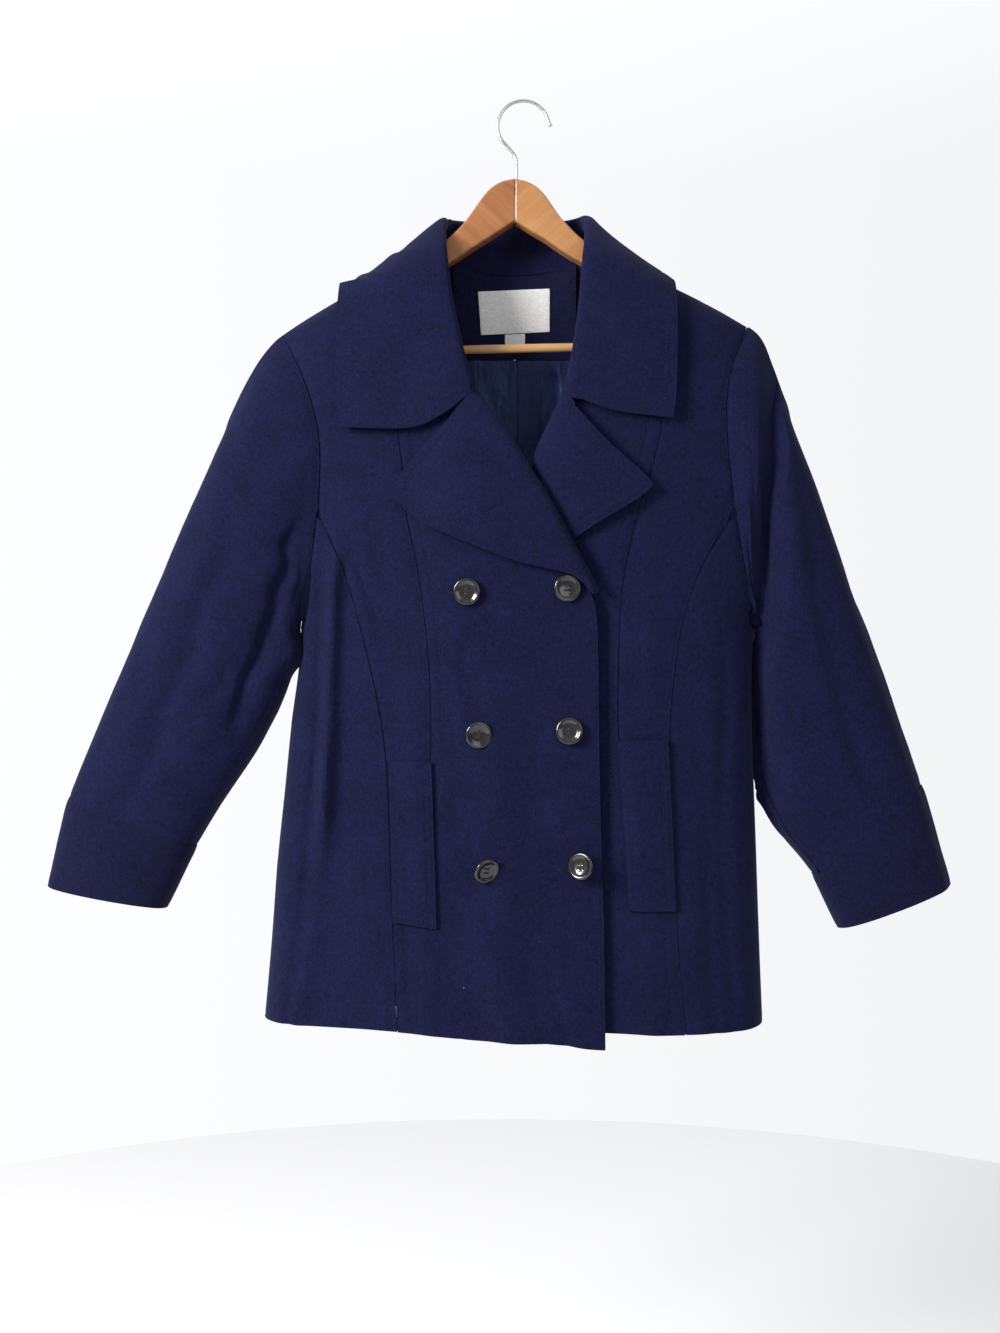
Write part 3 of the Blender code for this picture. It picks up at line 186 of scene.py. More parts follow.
def makeGrainGroup():
    tree, given, result = newGroup("woodGrain", [
        ("Vector", "Vector", (0, 0, 0)), ("Light", "Color", (0.6, 0.3, 0.14, 1)),
        ("Dark", "Color", (0.35, 0.13, 0.05, 1))],
        [("Color", "Color"), ("Roughness", "Float"), ("Height", "Float")])
    vector = given.outputs["Vector"]
    long = stretched(tree, vector, (0.09, 1.0, 1.0))
    bands = noiseNode(tree, long, 130, 3.0, 0.6)
    pores = noiseNode(tree, stretched(tree, vector, (0.05, 1.0, 1.0)), 900, 2.0, 0.6)
    broad = noiseNode(tree, vector, 14, 2.0)
    factor = mathNode(tree, "ADD", rangeNode(tree, bands, 0.32, 0.68, 0.0, 0.7),
                      rangeNode(tree, broad, 0.3, 0.7, -0.15, 0.3), True)
    color = mixNode(tree, factor, given.outputs["Light"], given.outputs["Dark"])
    pored = mixNode(tree, rangeNode(tree, pores, 0.55, 0.75, 0.0, 0.3), color, (0.16, 0.06, 0.025, 1))
    tree.links.new(pored, result.inputs["Color"])
    tree.links.new(rangeNode(tree, pores, 0.4, 0.7, 0.3, 0.45), result.inputs["Roughness"])
    tree.links.new(mathNode(tree, "SUBTRACT", 1.0, pores), result.inputs["Height"])
    return tree


feltGroup = makeFeltGroup()
satinGroup = makeSatinGroup()
grainGroup = makeGrainGroup()


def surfaced(name, group, values, bump, fixed, mapping=None):
    material = bpy.data.materials.new(name)
    material.use_nodes = True
    tree = material.node_tree
    shader = tree.nodes["Principled BSDF"]
    place = tree.nodes.new("ShaderNodeTexCoord").outputs["Object"]
    if mapping:
        turn = tree.nodes.new("ShaderNodeMapping")
        turn.inputs["Rotation"].default_value = mapping
        tree.links.new(place, turn.inputs["Vector"])
        place = turn.outputs["Vector"]
    pattern = tree.nodes.new("ShaderNodeGroup")
    pattern.node_tree = group
    tree.links.new(place, pattern.inputs["Vector"])
    for label, value in values.items():
        pattern.inputs[label].default_value = value
    relief = tree.nodes.new("ShaderNodeBump")
    relief.inputs["Strength"].default_value = bump[0]
    relief.inputs["Distance"].default_value = bump[1]
    tree.links.new(pattern.outputs["Color"], shader.inputs["Base Color"])
    tree.links.new(pattern.outputs["Roughness"], shader.inputs["Roughness"])
    tree.links.new(pattern.outputs["Height"], relief.inputs["Height"])
    tree.links.new(relief.outputs["Normal"], shader.inputs["Normal"])
    for label, value in fixed.items():
        shader.inputs[label].default_value = value
    return material


woolNap = {"Sheen Weight": 0.05, "Sheen Roughness": 0.5, "Sheen Tint": (0.5, 0.55, 0.85, 1),
           "Specular IOR Level": 0.08}
melton = surfaced("melton", feltGroup, {"Color": (0.0048, 0.0056, 0.0265, 1), "Clouds": 0.15},
                  (0.55, 0.9 * mm), woolNap)
meltonCuff = surfaced("meltonCuff", feltGroup, {"Color": (0.0046, 0.0049, 0.0228, 1), "Clouds": 0.15},
                      (0.55, 0.9 * mm), woolNap)
meltonFacing = surfaced("meltonFacing", feltGroup,
                        {"Color": (0.0056, 0.0064, 0.027, 1), "Clouds": 0.1, "Lint": 0.0},
                        (0.4, 0.7 * mm), woolNap)
satin = surfaced("satin", satinGroup, {"Color": (0.006, 0.0095, 0.05, 1), "Crumple": 1.0}, (0.7, 8 * mm),
                 {"Specular IOR Level": 0.5, "Specular Tint": (0.35, 0.5, 1.0, 1)})
labelSatin = surfaced("labelSatin", satinGroup, {"Color": (0.8, 0.79, 0.765, 1), "Crumple": 0.15},
                      (0.15, 0.5 * mm), {"Sheen Weight": 0.1})
woodTones = {
    "hanger_arm_right": ((0.30, 0.12, 0.04, 1), (0.195, 0.069, 0.023, 1), (0, -0.72, 0)),
    "hanger_arm_left": ((0.39, 0.19, 0.069, 1), (0.28, 0.118, 0.04, 1), (0, 0.72, 0)),
    "hanger_bar": ((0.5, 0.28, 0.12, 1), (0.38, 0.19, 0.07, 1), (0, 0, 0)),
}


def plainMaterial(name, values):
    material = bpy.data.materials.new(name)
    material.use_nodes = True
    shader = material.node_tree.nodes["Principled BSDF"]
    for label, value in values.items():
        shader.inputs[label].default_value = value
    return material


def fineWear(material, scale, low, high):
    tree = material.node_tree
    place = tree.nodes.new("ShaderNodeTexCoord").outputs["Object"]
    worn = rangeNode(tree, noiseNode(tree, place, scale, 3.0), 0.3, 0.7, low, high)
    tree.links.new(worn, tree.nodes["Principled BSDF"].inputs["Roughness"])


hookSteel = plainMaterial("hookSteel", {"Base Color": (0.62, 0.61, 0.6, 1), "Metallic": 1.0})
fineWear(hookSteel, 240, 0.16, 0.34)
buttonBlack = plainMaterial("buttonBlack", {"Base Color": (0.006, 0.006, 0.007, 1), "Coat Weight": 0.5,
                                            "Coat Roughness": 0.06})
fineWear(buttonBlack, 160, 0.12, 0.24)
threadNavy = plainMaterial("threadNavy", {"Base Color": (0.0045, 0.005, 0.02, 1), "Specular IOR Level": 0.2})
fineWear(threadNavy, 900, 0.5, 0.75)
threadBlack = plainMaterial("threadBlack", {"Base Color": (0.008, 0.008, 0.012, 1)})
fineWear(threadBlack, 900, 0.5, 0.7)
print("materials made")


# hanging folds, in mm: face, depth (inwards where negative), width, and their run as (z, x)

creases = [
    ("front", -11.0, 8, [(-425, -168), (-480, -173), (-590, -176), (-680, -181), (-720, -184)]),
    ("front", -3.5, 10, [(-600, -178), (-680, -181), (-780, -190), (-890, -208)]),
    ("front", 3.0, 11, [(-500, -200), (-620, -198), (-740, -210), (-880, -222)]),
    ("front", -2.2, 9, [(-500, -52), (-545, -58), (-590, -50), (-640, -44)]),
    ("front", -3.6, 22, [(-560, -22), (-680, -16), (-780, -10), (-890, 2)]),
    ("front", 1.6, 12, [(-540, -100), (-640, -96), (-760, -88), (-880, -80)]),
    ("front", -2.0, 12, [(-752, -40), (-800, -30), (-850, -16), (-897, -6)]),
    ("front", 2.2, 12, [(-790, 14), (-850, 26), (-900, 40)]),
    ("front", -2.2, 10, [(-800, 30), (-850, 44), (-900, 58)]),
    ("front", -2.6, 12, [(-400, 128), (-460, 124), (-560, 126), (-600, 128)]),
    ("front", 1.8, 14, [(-470, 180), (-600, 186), (-760, 190), (-885, 196)]),
    ("front", -2.4, 14, [(-540, 214), (-680, 206), (-800, 210), (-888, 222)]),
    ("front", -1.8, 16, [(-640, 176), (-760, 170), (-885, 178)]),
    ("front", 2.0, 10, [(-420, -168), (-470, -150), (-520, -136)]),
    ("front", -2.0, 9, [(-405, -150), (-450, -140), (-500, -122)]),
    ("back", -3.5, 18, [(-360, -126), (-520, -130), (-700, -140), (-885, -152)]),
    ("back", 2.5, 16, [(-420, -168), (-640, -176), (-885, -188)]),
    ("back", -3.0, 15, [(-300, 96), (-470, 104), (-660, 116), (-885, 128)]),
    ("back", 2.2, 16, [(-500, 158), (-700, 160), (-885, 170)]),
    ("back", -2.0, 20, [(-420, -52), (-600, -44), (-760, -40), (-885, -48)]),
    ("back", 1.8, 18, [(-520, 40), (-700, 44), (-885, 54)]),
    ("back", -2.4, 12, [(-250, -176), (-320, -150), (-380, -120)]),
    ("back", -2.4, 12, [(-240, 178), (-310, 156), (-380, 122)]),
    ("right sleeve", -8.5, 8, [(-385, -192), (-440, -216), (-480, -234), (-540, -250), (-610, -264)]),
    ("left sleeve", -8.0, 9, [(-380, 236), (-520, 238), (-600, 241), (-660, 247), (-700, 262)]),
    ("right sleeve", -3.0, 12, [(-420, -268), (-520, -306), (-610, -340), (-690, -372)]),
    ("right sleeve", 2.0, 14, [(-300, -246), (-420, -290), (-540, -336), (-660, -388)]),
    ("right sleeve", -2.5, 10, [(-520, -250), (-560, -276), (-590, -306), (-606, -334)]),
    ("right sleeve", -1.8, 10, [(-640, -300), (-664, -330), (-680, -368)]),
    ("right sleeve", 1.8, 12, [(-560, -262), (-610, -290), (-640, -322)]),
    ("left sleeve", -2.6, 12, [(-330, 268), (-460, 284), (-580, 312), (-680, 344)]),
    ("left sleeve", 2.0, 13, [(-300, 258), (-430, 268), (-560, 286), (-680, 314)]),
    ("left sleeve", -2.0, 9, [(-560, 270), (-600, 292), (-628, 324)]),
    ("left sleeve", -1.8, 10, [(-640, 282), (-668, 316), (-690, 352)]),
]
creaseFade = 60
settle = {"height": 0.75 * mm, "scale": 17, "fine": 0.28 * mm, "fineScale": 52}


def along(run, z):
    if z >= run[0][0]:
        return run[0][1]
    for (zHigh, xHigh), (zLow, xLow) in zip(run, run[1:]):
        if z >= zLow:
            part = (zHigh - z) / (zHigh - zLow)
            return xHigh + (xLow - xHigh) * part * part * (3 - 2 * part)
    return run[-1][1]


def smooth(low, high, value):
    part = min(max((value - low) / (high - low), 0.0), 1.0)
    return part * part * (3 - 2 * part)


def creaseHeight(face, point):
    x = point.x / mm
    z = point.z / mm
    height = 0.0
    for kind, depth, width, run in creases:
        top, bottom = run[0][0], run[-1][0]
        if kind != face or z > top + 20 or z < bottom - 30:
            continue
        fade = smooth(top + 20, top - creaseFade, z)
        if bottom > -870:
            fade *= smooth(bottom - 30, bottom + creaseFade, z)
        height += depth * fade * math.exp(-((x - along(run, z)) / width) ** 2)
    return height * mm


def settled(point):
    broad = noise.noise(point * settle["scale"]) * settle["height"]
    return broad + noise.noise(point * settle["fineScale"]) * settle["fine"]


sleeveAxes = {"right": (Vector((-0.222, 0.002, -0.366)), Vector((-0.396, 0.002, -0.770))),
              "left": (Vector((0.232, 0.002, -0.362)), Vector((0.367, 0.002, -0.780)))}
armholes = {        # the seam's run, as (z, x), in mm
    "right front": [(-224, -225), (-261, -206), (-311, -188), (-355, -184.5), (-402, -188.5), (-460, -197),
                    (-508, -207)],
    "right back": [(-224, -225), (-270, -208), (-340, -200), (-420, -200.5), (-508, -207)],
    "left front": [(-216, 225), (-242, 212), (-268, 202), (-318, 200), (-389, 205.5), (-458, 218.5),
                   (-508, 231.5)],
    "left back": [(-216, 225), (-268, 211), (-340, 207), (-420, 214), (-508, 231.5)],
}


leaning = {"right": (-425, -460, -530, -558, 13.0), "left": (-470, -560, -700, -750, 10.0)}


def leanedIn(side, point, out):
    high, full, still, low, depth = leaning[side]
    z = point.z / mm
    inner = smooth(0.1, 0.75, out.x if side == "right" else -out.x)
    band = smooth(high, full, z) * smooth(low, still, z)
    return Vector((depth * mm * inner * band * (1 if side == "right" else -1), 0, 0))


def fromArmhole(side, point):
    run = armholes[side + (" front" if point.y < 0 else " back")]
    z = point.z / mm
    across = point.x / mm - along(run, z)
    return math.hypot(across, max(run[-1][0] - z, 0.0))


def bodyShift(point):
    face = "front" if point.y < 0 else "back"
    loose = smooth(0.5, 14, abs(point.y) / mm)
    return Vector((0, math.copysign(creaseHeight(face, point) + settled(point), point.y) * loose, 0))


def foldShift(name, point):
    side = "right" if name.endswith("right") else "left"
    if name.startswith(("sleeve", "cuff")):
        top, wrist = sleeveAxes[side]
        run = (wrist - top).normalized()
        out = point - top - run * (point - top).dot(run)
        out = out.normalized()
        front = smooth(-0.1, 0.5, -out.y)
        free = smooth(0, 34, fromArmhole(side, point))
        crease = creaseHeight(side + " sleeve", point) * (0.3 + 0.7 * front)
        settledOut = out * (crease + settled(point)) + leanedIn(side, point, out)
        return settledOut * free + bodyShift(point) * (1 - free)
    if name.startswith(("back", "front", "lining", "welt")):
        return bodyShift(point)
    return Vector((0, math.copysign(settled(point), point.y), 0))


# every cloth piece: cut as (width, length, area) in metres, fineness, pull at its seams

clothPieces = {
    "front_center_right": {"cut": (0.21, 0.79, 0.106), "levels": 3, "material": melton},
    "front_center_left": {"cut": (0.24, 0.77, 0.116), "levels": 3, "material": melton},
    "front_middle_right": {"cut": (0.15, 0.65, 0.038), "levels": 3, "material": melton},
    "front_middle_left": {"cut": (0.13, 0.62, 0.0345), "levels": 3, "material": melton},
    "front_side_right": {"cut": (0.14, 0.51, 0.052), "levels": 3, "material": melton},
    "front_side_left": {"cut": (0.13, 0.51, 0.045), "levels": 3, "material": melton},
    "back_right": {"cut": (0.26, 0.78, 0.165), "levels": 3, "material": melton},
    "back_left": {"cut": (0.26, 0.79, 0.172), "levels": 3, "material": melton},
    "sleeve_top_right": {"cut": (0.27, 0.60, 0.128), "levels": 3, "material": melton},
    "sleeve_top_left": {"cut": (0.25, 0.60, 0.115), "levels": 3, "material": melton},
    "sleeve_under_right": {"cut": (0.085, 0.37, 0.019), "levels": 3, "material": melton},
    "sleeve_under_left": {"cut": (0.075, 0.36, 0.0155), "levels": 3, "material": melton},
    "cuff_right": {"cut": (0.25, 0.105, 0.0245), "levels": 3, "material": meltonCuff},
    "cuff_left": {"cut": (0.25, 0.105, 0.025), "levels": 3, "material": meltonCuff},
    "collar": {"cut": (0.17, 0.66, 0.083), "levels": 3, "material": melton},
    "lapel_right": {"cut": (0.13, 0.24, 0.0178), "levels": 3, "material": melton},
    "lapel_left": {"cut": (0.10, 0.16, 0.0092), "levels": 3, "material": melton},
    "welt_right": {"cut": (0.045, 0.157, 0.0067), "levels": 3, "material": melton},
    "welt_left": {"cut": (0.05, 0.165, 0.0078), "levels": 3, "material": melton},
    "neck_facing": {"cut": (0.13, 0.11, 0.0104), "levels": 2, "material": meltonFacing},
    "lining_back_right": {"cut": (0.22, 0.64, 0.110), "levels": 2, "material": satin},
    "lining_back_left": {"cut": (0.22, 0.64, 0.113), "levels": 2, "material": satin},
    "neck_label": {"cut": (0.072, 0.045, 0.0031), "levels": 2, "material": labelSatin},
    "size_tab": {"cut": (0.02, 0.0185, 0.00037), "levels": 2, "material": labelSatin},
}
cloth = {"weld": 0.02 * mm, "sharp": math.radians(48), "edgeRound": 0.6 * mm, "seamReach": 3.6 * mm,
         "seamPull": {"melton": 0.95 * mm, "satin": 0.0, "label_satin": 0.0},
         "closing": (5.0, 9.0), "rowPull": 0.6 * mm, "rowWidth": 1.8 * mm}


def refined(nodeName, levels, sharp):
    bm = bmesh.new()
    bm.from_mesh(nodes[nodeName].data)
    bmesh.ops.remove_doubles(bm, verts=bm.verts[:], dist=cloth["weld"])
    bmesh.ops.join_triangles(bm, faces=bm.faces[:], angle_face_threshold=math.radians(40),
                             angle_shape_threshold=math.radians(60))
    crease = bm.edges.layers.float.new("crease_edge")
    for edge in bm.edges:
        if len(edge.link_faces) == 2 and edge.calc_face_angle() > sharp:
            edge[crease] = 1.0
    for face in bm.faces:               # the wall's own narrow side, marked by its slot
        sharpRun = [edge[crease] for edge in face.edges]
        face.material_index = 1 if len(sharpRun) == 4 and (
            min(sharpRun[0], sharpRun[2]) == 1 or min(sharpRun[1], sharpRun[3]) == 1) else 0
    mesh = bpy.data.meshes.new(nodeName + "Fine")
    mesh.materials.append(None)
    mesh.materials.append(None)
    bm.to_mesh(mesh)
    bm.free()
    piece = bpy.data.objects.new(nodeName + "Fine", mesh)
    bpy.context.scene.collection.objects.link(piece)
    smoothing = piece.modifiers.new("smoothing", "SUBSURF")
    smoothing.levels = levels
    smoothing.render_levels = levels
    settleMesh(piece)
    return piece


def settleMesh(piece):
    baked = bpy.data.meshes.new_from_object(piece.evaluated_get(bpy.context.evaluated_depsgraph_get()))
    piece.modifiers.clear()
    piece.data = baked


def rimFaces(mesh):
    return [(face.center.copy(), face.normal.copy()) for face in mesh.polygons if face.material_index == 1]


def treeOf(rim):
    tree = KDTree(len(rim))
    for place, (point, normal) in enumerate(rim):
        tree.insert(point, place)
    tree.balance()
    return tree


def finished(piece, material, nodeNames):
    piece.data.materials.clear()
    piece.data.materials.append(material)
    piece.data.shade_smooth()
    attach(piece, "root")
    if nodeNames:
        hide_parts(*nodeNames)
    return piece


shell = ("front", "back", "sleeve", "cuff")
inside = ("lining", "neck_facing")


def sewnTogether(first, second):
    if "collar" in (first, second):
        other = second if first == "collar" else first
        return other == "neck_facing" or other.startswith("lapel")
    if first.startswith(shell) and second.startswith(shell):
        sameSide = first.split("_")[-1] == second.split("_")[-1]
        return first != second and (sameSide or (first.startswith("back") and second.startswith("back")))
    return first != second and first.startswith(inside) and second.startswith(inside)


# the short seam between collar and lapel, above the notch

def inGorge(p):
    return 36 < abs(p.x) < 68 and -312 < p.z < -268


# each rim face's way to the middle of its seam

def closingOf(name):
    ways = []
    partners = [rimTrees[other] for other in clothPieces if sewnTogether(name, other)]
    for point, normal in rims[name]:
        if name.startswith("lapel") and not inGorge(point / mm):
            ways.append(Vector((0, 0, 0)))
            continue
        if name == "collar" and point.y < 0 and not inGorge(point / mm):
            ways.append(Vector((0, 0, 0)))
            continue
        nearest = min((tree.find(point) for tree in partners), key=lambda found: found[2], default=None)
        if nearest is None:
            ways.append(Vector((0, 0, 0)))
            continue
        way = nearest[0] - point
        facing = smooth(0.15, 0.6, normal.dot(way.normalized()))
        close = facing * (1 - smooth(*cloth["closing"], way.length / mm))
        ways.append((way * 0.5 + way.normalized() * 0.2 * mm) * close)
    return ways


# which edges the topstitching follows, and how far inside them it runs

def collarEdge(p):
    back = abs(p.x) < 84 and p.z > -172
    front = abs(p.x) < 84 and p.y < 5
    return not (back or front)


def rightLapelEdge(p):
    roll = -39 + (-289 - p.z) * 0.62
    return p.x < roll - 13 and p.x < 66


sewing = {
    "collar": {"edge": collarEdge, "inset": 10.5 * mm, "from": "neck"},
    "lapel_right": {"edge": rightLapelEdge, "inset": 10.5 * mm},
    "lapel_left": {"edge": lambda p: p.x > 62, "inset": 10.5 * mm, "keep": lambda p: p.x > 50},
    "front_center_right": {"edge": lambda p: p.x < -60, "inset": 11.5 * mm,
                           "keep": lambda p: -880 < p.z < -300},
    "front_center_left": {"edge": lambda p: p.x > 88, "inset": 11.5 * mm,
                          "keep": lambda p: -880 < p.z < -300},
    "welt_right": {"edge": lambda p: True, "inset": 6.5 * mm},
    "welt_left": {"edge": lambda p: True, "inset": 8.0 * mm},
}

slotOf = {part["node"]: part["material_slot"] for part in frame["record"]["subparts"]}
wovenPieces = {}
rims = {}
rimTrees = {}
rowTrees = {}
for nodeName, facts in clothPieces.items():
    piece = refined(nodeName, facts["levels"], cloth["sharp"])
    moved = [vert.co + foldShift(nodeName, vert.co) for vert in piece.data.vertices]
    for vert, place in zip(piece.data.vertices, moved):
        vert.co = place
    piece.data.update()
    wovenPieces[nodeName] = piece
    rims[nodeName] = rimFaces(piece.data)
    rimTrees[nodeName] = treeOf(rims[nodeName])
    if nodeName in sewing:
        rowTrees[nodeName] = treeOf([face for face in rims[nodeName] if sewing[nodeName]["edge"](face[0] / mm)])
print("cloth folded")

for nodeName, facts in clothPieces.items():
    piece = wovenPieces[nodeName]
    pull = cloth["seamPull"][slotOf[nodeName]]
    ways = closingOf(nodeName)
    moved = []
    for vert in piece.data.vertices:
        point, place, gap = rimTrees[nodeName].find(vert.co)
        nip = pull * math.exp(-(gap / cloth["seamReach"]) ** 2)
        if nodeName in rowTrees and gap < 30 * mm:
            off = rowTrees[nodeName].find(vert.co)[2] - sewing[nodeName]["inset"]
            nip += cloth["rowPull"] * math.exp(-(off / cloth["rowWidth"]) ** 2)
        way = ways[place]
        reach = way * math.exp(-(gap / (3 * mm + 2 * way.length)) ** 2)
        side = rims[nodeName][place][1]
        sunk = vert.normal - side * vert.normal.dot(side) * math.exp(-(gap / (2 * mm)) ** 2)
        moved.append(vert.co + reach - sunk * nip)
    for vert, place in zip(piece.data.vertices, moved):
        vert.co = place
    softEdge = piece.modifiers.new("softEdge", "BEVEL")
    softEdge.width = cloth["edgeRound"] if pull else 0.2 * mm
    softEdge.segments = 2
    softEdge.limit_method = "ANGLE"
    softEdge.angle_limit = cloth["sharp"]
    settleMesh(piece)
    finished(piece, facts["material"], [nodeName])
print("cloth made")


# stay tape inside each armhole's front, behind the seam

tape = {"half": 9 * mm, "behind": 3.0 * mm, "thick": 0.4 * mm, "pitch": 6, "columns": 5}


def makeTape(side):
    run = armholes[side + " front"]
    kinds = ("front_middle_", "front_side_", "sleeve_top_", "sleeve_under_")
    near = [wovenPieces[kind + side] for kind in kinds]
    trees = [BVHTree.FromObject(piece, bpy.context.evaluated_depsgraph_get()) for piece in near]

    def depthAt(x, z):
        hits = [tree.ray_cast(Vector((x, -0.2, z)), Vector((0, 1, 0)))[0] for tree in trees]
        return min((hit.y for hit in hits if hit), default=None)

    rows = []
    for z in range(int(run[0][0]) - 8, int(run[-1][0]), -tape["pitch"]):
        x = along(run, z) * mm
        ends = [depthAt(x - tape["half"], z * mm), depthAt(x + tape["half"], z * mm)]
        if None in ends:
            continue
        row = []
        for column in range(tape["columns"]):
            part = column / (tape["columns"] - 1)
            y = ends[0] + (ends[1] - ends[0]) * part + tape["behind"]
            row.append((x + tape["half"] * (2 * part - 1), y, z * mm))
        rows.append(row)
    bm = bmesh.new()
    laid = [[bm.verts.new(place) for place in row] for row in rows]
    for upper, lower in zip(laid, laid[1:]):
        for column in range(tape["columns"] - 1):
            bm.faces.new((upper[column], lower[column], lower[column + 1], upper[column + 1]))
    bmesh.ops.solidify(bm, geom=bm.faces[:], thickness=tape["thick"])
    mesh = bpy.data.meshes.new("armhole_tape_" + side)
    bm.to_mesh(mesh)
    bm.free()
    piece = bpy.data.objects.new("armhole_tape_" + side, mesh)
    bpy.context.scene.collection.objects.link(piece)
    finished(piece, meltonFacing, [])


makeTape("right")
makeTape("left")

# topstitching: rows that follow an edge at a fixed distance

stitch = {"length": 3.1 * mm, "pitch": 4.1 * mm, "width": 0.42 * mm, "sink": 0.1 * mm}


def edgeRow(mesh, rim, inset, outward, keep=None):
    bm = bmesh.new()
    bm.from_mesh(mesh)
    gaps = {vert: rim.find(vert.co)[2] - inset for vert in bm.verts}
    crossings = {}
    links = {}
    for face in bm.faces:
        if face.normal.dot(outward(face.calc_center_median())) < 0.1:
            continue
        found = []
        for edge in face.edges:
            first, second = edge.verts
            if (gaps[first] < 0) != (gaps[second] < 0):
                part = gaps[first] / (gaps[first] - gaps[second])
                crossings[edge.index] = first.co.lerp(second.co, part)
                found.append(edge.index)
        if len(found) == 2 and (keep is None or keep(crossings[found[0]] / mm)):
            links.setdefault(found[0], []).append(found[1])
            links.setdefault(found[1], []).append(found[0])
    bm.free()
    rows = []
    while links:
        ends = [key for key, others in links.items() if len(others) == 1]
        at = ends[0] if ends else next(iter(links))
        row = [at]
        while True:
            onward = [key for key in links.get(at, []) if key in links]
            links.pop(at, None)
            onward = [key for key in onward if key in links]
            if not onward:
                break
            at = onward[0]
            row.append(at)
        if len(row) > 5:
            rows.append([crossings[key] for key in row])
    return rows


def evenly(row, pitch):
    points = [row[0]]
    carry = 0.0
    for before, after in zip(row, row[1:]):
        length = (after - before).length
        while carry + length >= pitch and length > 0:
            part = (pitch - carry) / length
            before = before.lerp(after, part)
            points.append(before)
            length = (after - before).length
            carry = 0.0
        carry += length
    return points


def sewnRows(name, rows, surface, material=threadNavy, size=stitch):
    tree = BVHTree.FromObject(surface, bpy.context.evaluated_depsgraph_get())
    bm = bmesh.new()
    for row in rows:
        points = evenly(row, size["pitch"])
        for before, after in zip(points, points[1:]):
            middle, normal, face, gap = tree.find_nearest((before + after) / 2)
            run = (after - before).normalized()
            side = normal.cross(run).normalized()
            up = run.cross(side)
            turn = Matrix((run, side, up)).transposed().to_4x4()
            place = Matrix.Translation(middle + up * (size["width"] * 0.5 - size["sink"])) @ turn
            shape = Matrix.Diagonal((size["length"] / 2, size["width"], size["width"] * 0.8, 1))
            bmesh.ops.create_uvsphere(bm, u_segments=6, v_segments=4, radius=1.0, matrix=place @ shape)
    mesh = bpy.data.meshes.new(name)
    bm.to_mesh(mesh)
    bm.free()
    piece = bpy.data.objects.new(name, mesh)
    bpy.context.scene.collection.objects.link(piece)
    return finished(piece, material, [])


def towardsViewer(place):
    return Vector((0, -1, 0))


def offTheNeck(place):
    return Vector((place.x * 0.4, place.y * 2.2, 0.12)).normalized()


for nodeName, facts in sewing.items():
    surface = wovenPieces[nodeName]
    outward = offTheNeck if facts.get("from") == "neck" else towardsViewer
    rows = edgeRow(surface.data, rowTrees[nodeName], facts["inset"], outward, facts.get("keep"))
    sewnRows("stitches_" + nodeName, rows, surface)

# straight rows beside the welts, and the front edge's own row
straightRows = {
    "stitches_welt_side_right": ("front_center_right", [(-67.5, -637), (-66, -700), (-64.5, -794)]),
    "stitches_welt_side_left": ("front_center_left", [(88.5, -617), (91, -700), (95, -783)]),
    "stitches_front_edge": ("front_center_right", [(73.5, -520), (74.5, -640), (77.5, -760), (79, -888)]),
}
for name, (nodeName, run) in straightRows.items():
    row = [Vector((x * mm, -0.075, z * mm)) for x, z in run]
    surface = wovenPieces[nodeName]
    tree = BVHTree.FromObject(surface, bpy.context.evaluated_depsgraph_get())
    laid = []
    for point in evenly(row, 2 * mm):
        hit = tree.ray_cast(point, Vector((0, 1, 0)))
        if hit[0]:
            laid.append(hit[0])
    sewnRows(name, [laid], surface)
print("stitches made")


# hanger: the turned wood and the wire, with rounded edges

for nodeName, (light, dark, turn) in woodTones.items():
    wood = surfaced(nodeName + "Wood", grainGroup, {"Light": light, "Dark": dark}, (0.1, 0.3 * mm),
                    {"Coat Weight": 0.25, "Coat Roughness": 0.25}, turn)
    finished(refined(nodeName, 2, math.radians(50)), wood, [nodeName])
finished(refined("hanger_hook", 2, math.radians(50)), hookSteel, ["hanger_hook"])
print("hanger made")


# buttons: dished, with a raised rim, four holes and crossed thread

button = {"radius": 12.8, "rim": 10.9, "holeSpread": 2.1, "holeRadius": 1.0, "turns": 72,
          "profile": [(0.0, 2.55), (5.2, 2.6), (7.2, 2.85), (8.7, 3.5), (9.8, 4.25), (10.9, 4.6), (11.9, 4.35),
                      (12.6, 3.7), (12.8, 3.0), (12.5, 2.0), (11.4, 1.0), (9.0, 0.4), (6.0, 0.2), (0.0, 0.15)]}
buttonLean = {          # tip and turn in degrees, as each hangs on its thread, and its shank's length
    "top_outer": (4, -5, 2.0), "top_front": (3, 8, 2.0), "middle_outer": (10, 12, 3.6),
    "middle_front": (-5, -7, 2.0), "low_outer": (24, 30, 8.5), "low_front": (-6, -30, 6.5),
}


def turnedButton():
    bm = bmesh.new()
    points = [bm.verts.new((radius * mm, 0, height * mm)) for radius, height in button["profile"]]
    line = [bm.edges.new(pair) for pair in zip(points, points[1:])]
    bmesh.ops.spin(bm, geom=points + line, cent=(0, 0, 0), axis=(0, 0, 1), angle=2 * math.pi,
                   steps=button["turns"], use_merge=True)
    bmesh.ops.remove_doubles(bm, verts=bm.verts[:], dist=0.005 * mm)
    bmesh.ops.recalc_face_normals(bm, faces=bm.faces[:])
    return bm


def holePlaces():
    spread = button["holeSpread"] * mm
    return [(column * spread, row * spread) for column in (-1, 1) for row in (-1, 1)]


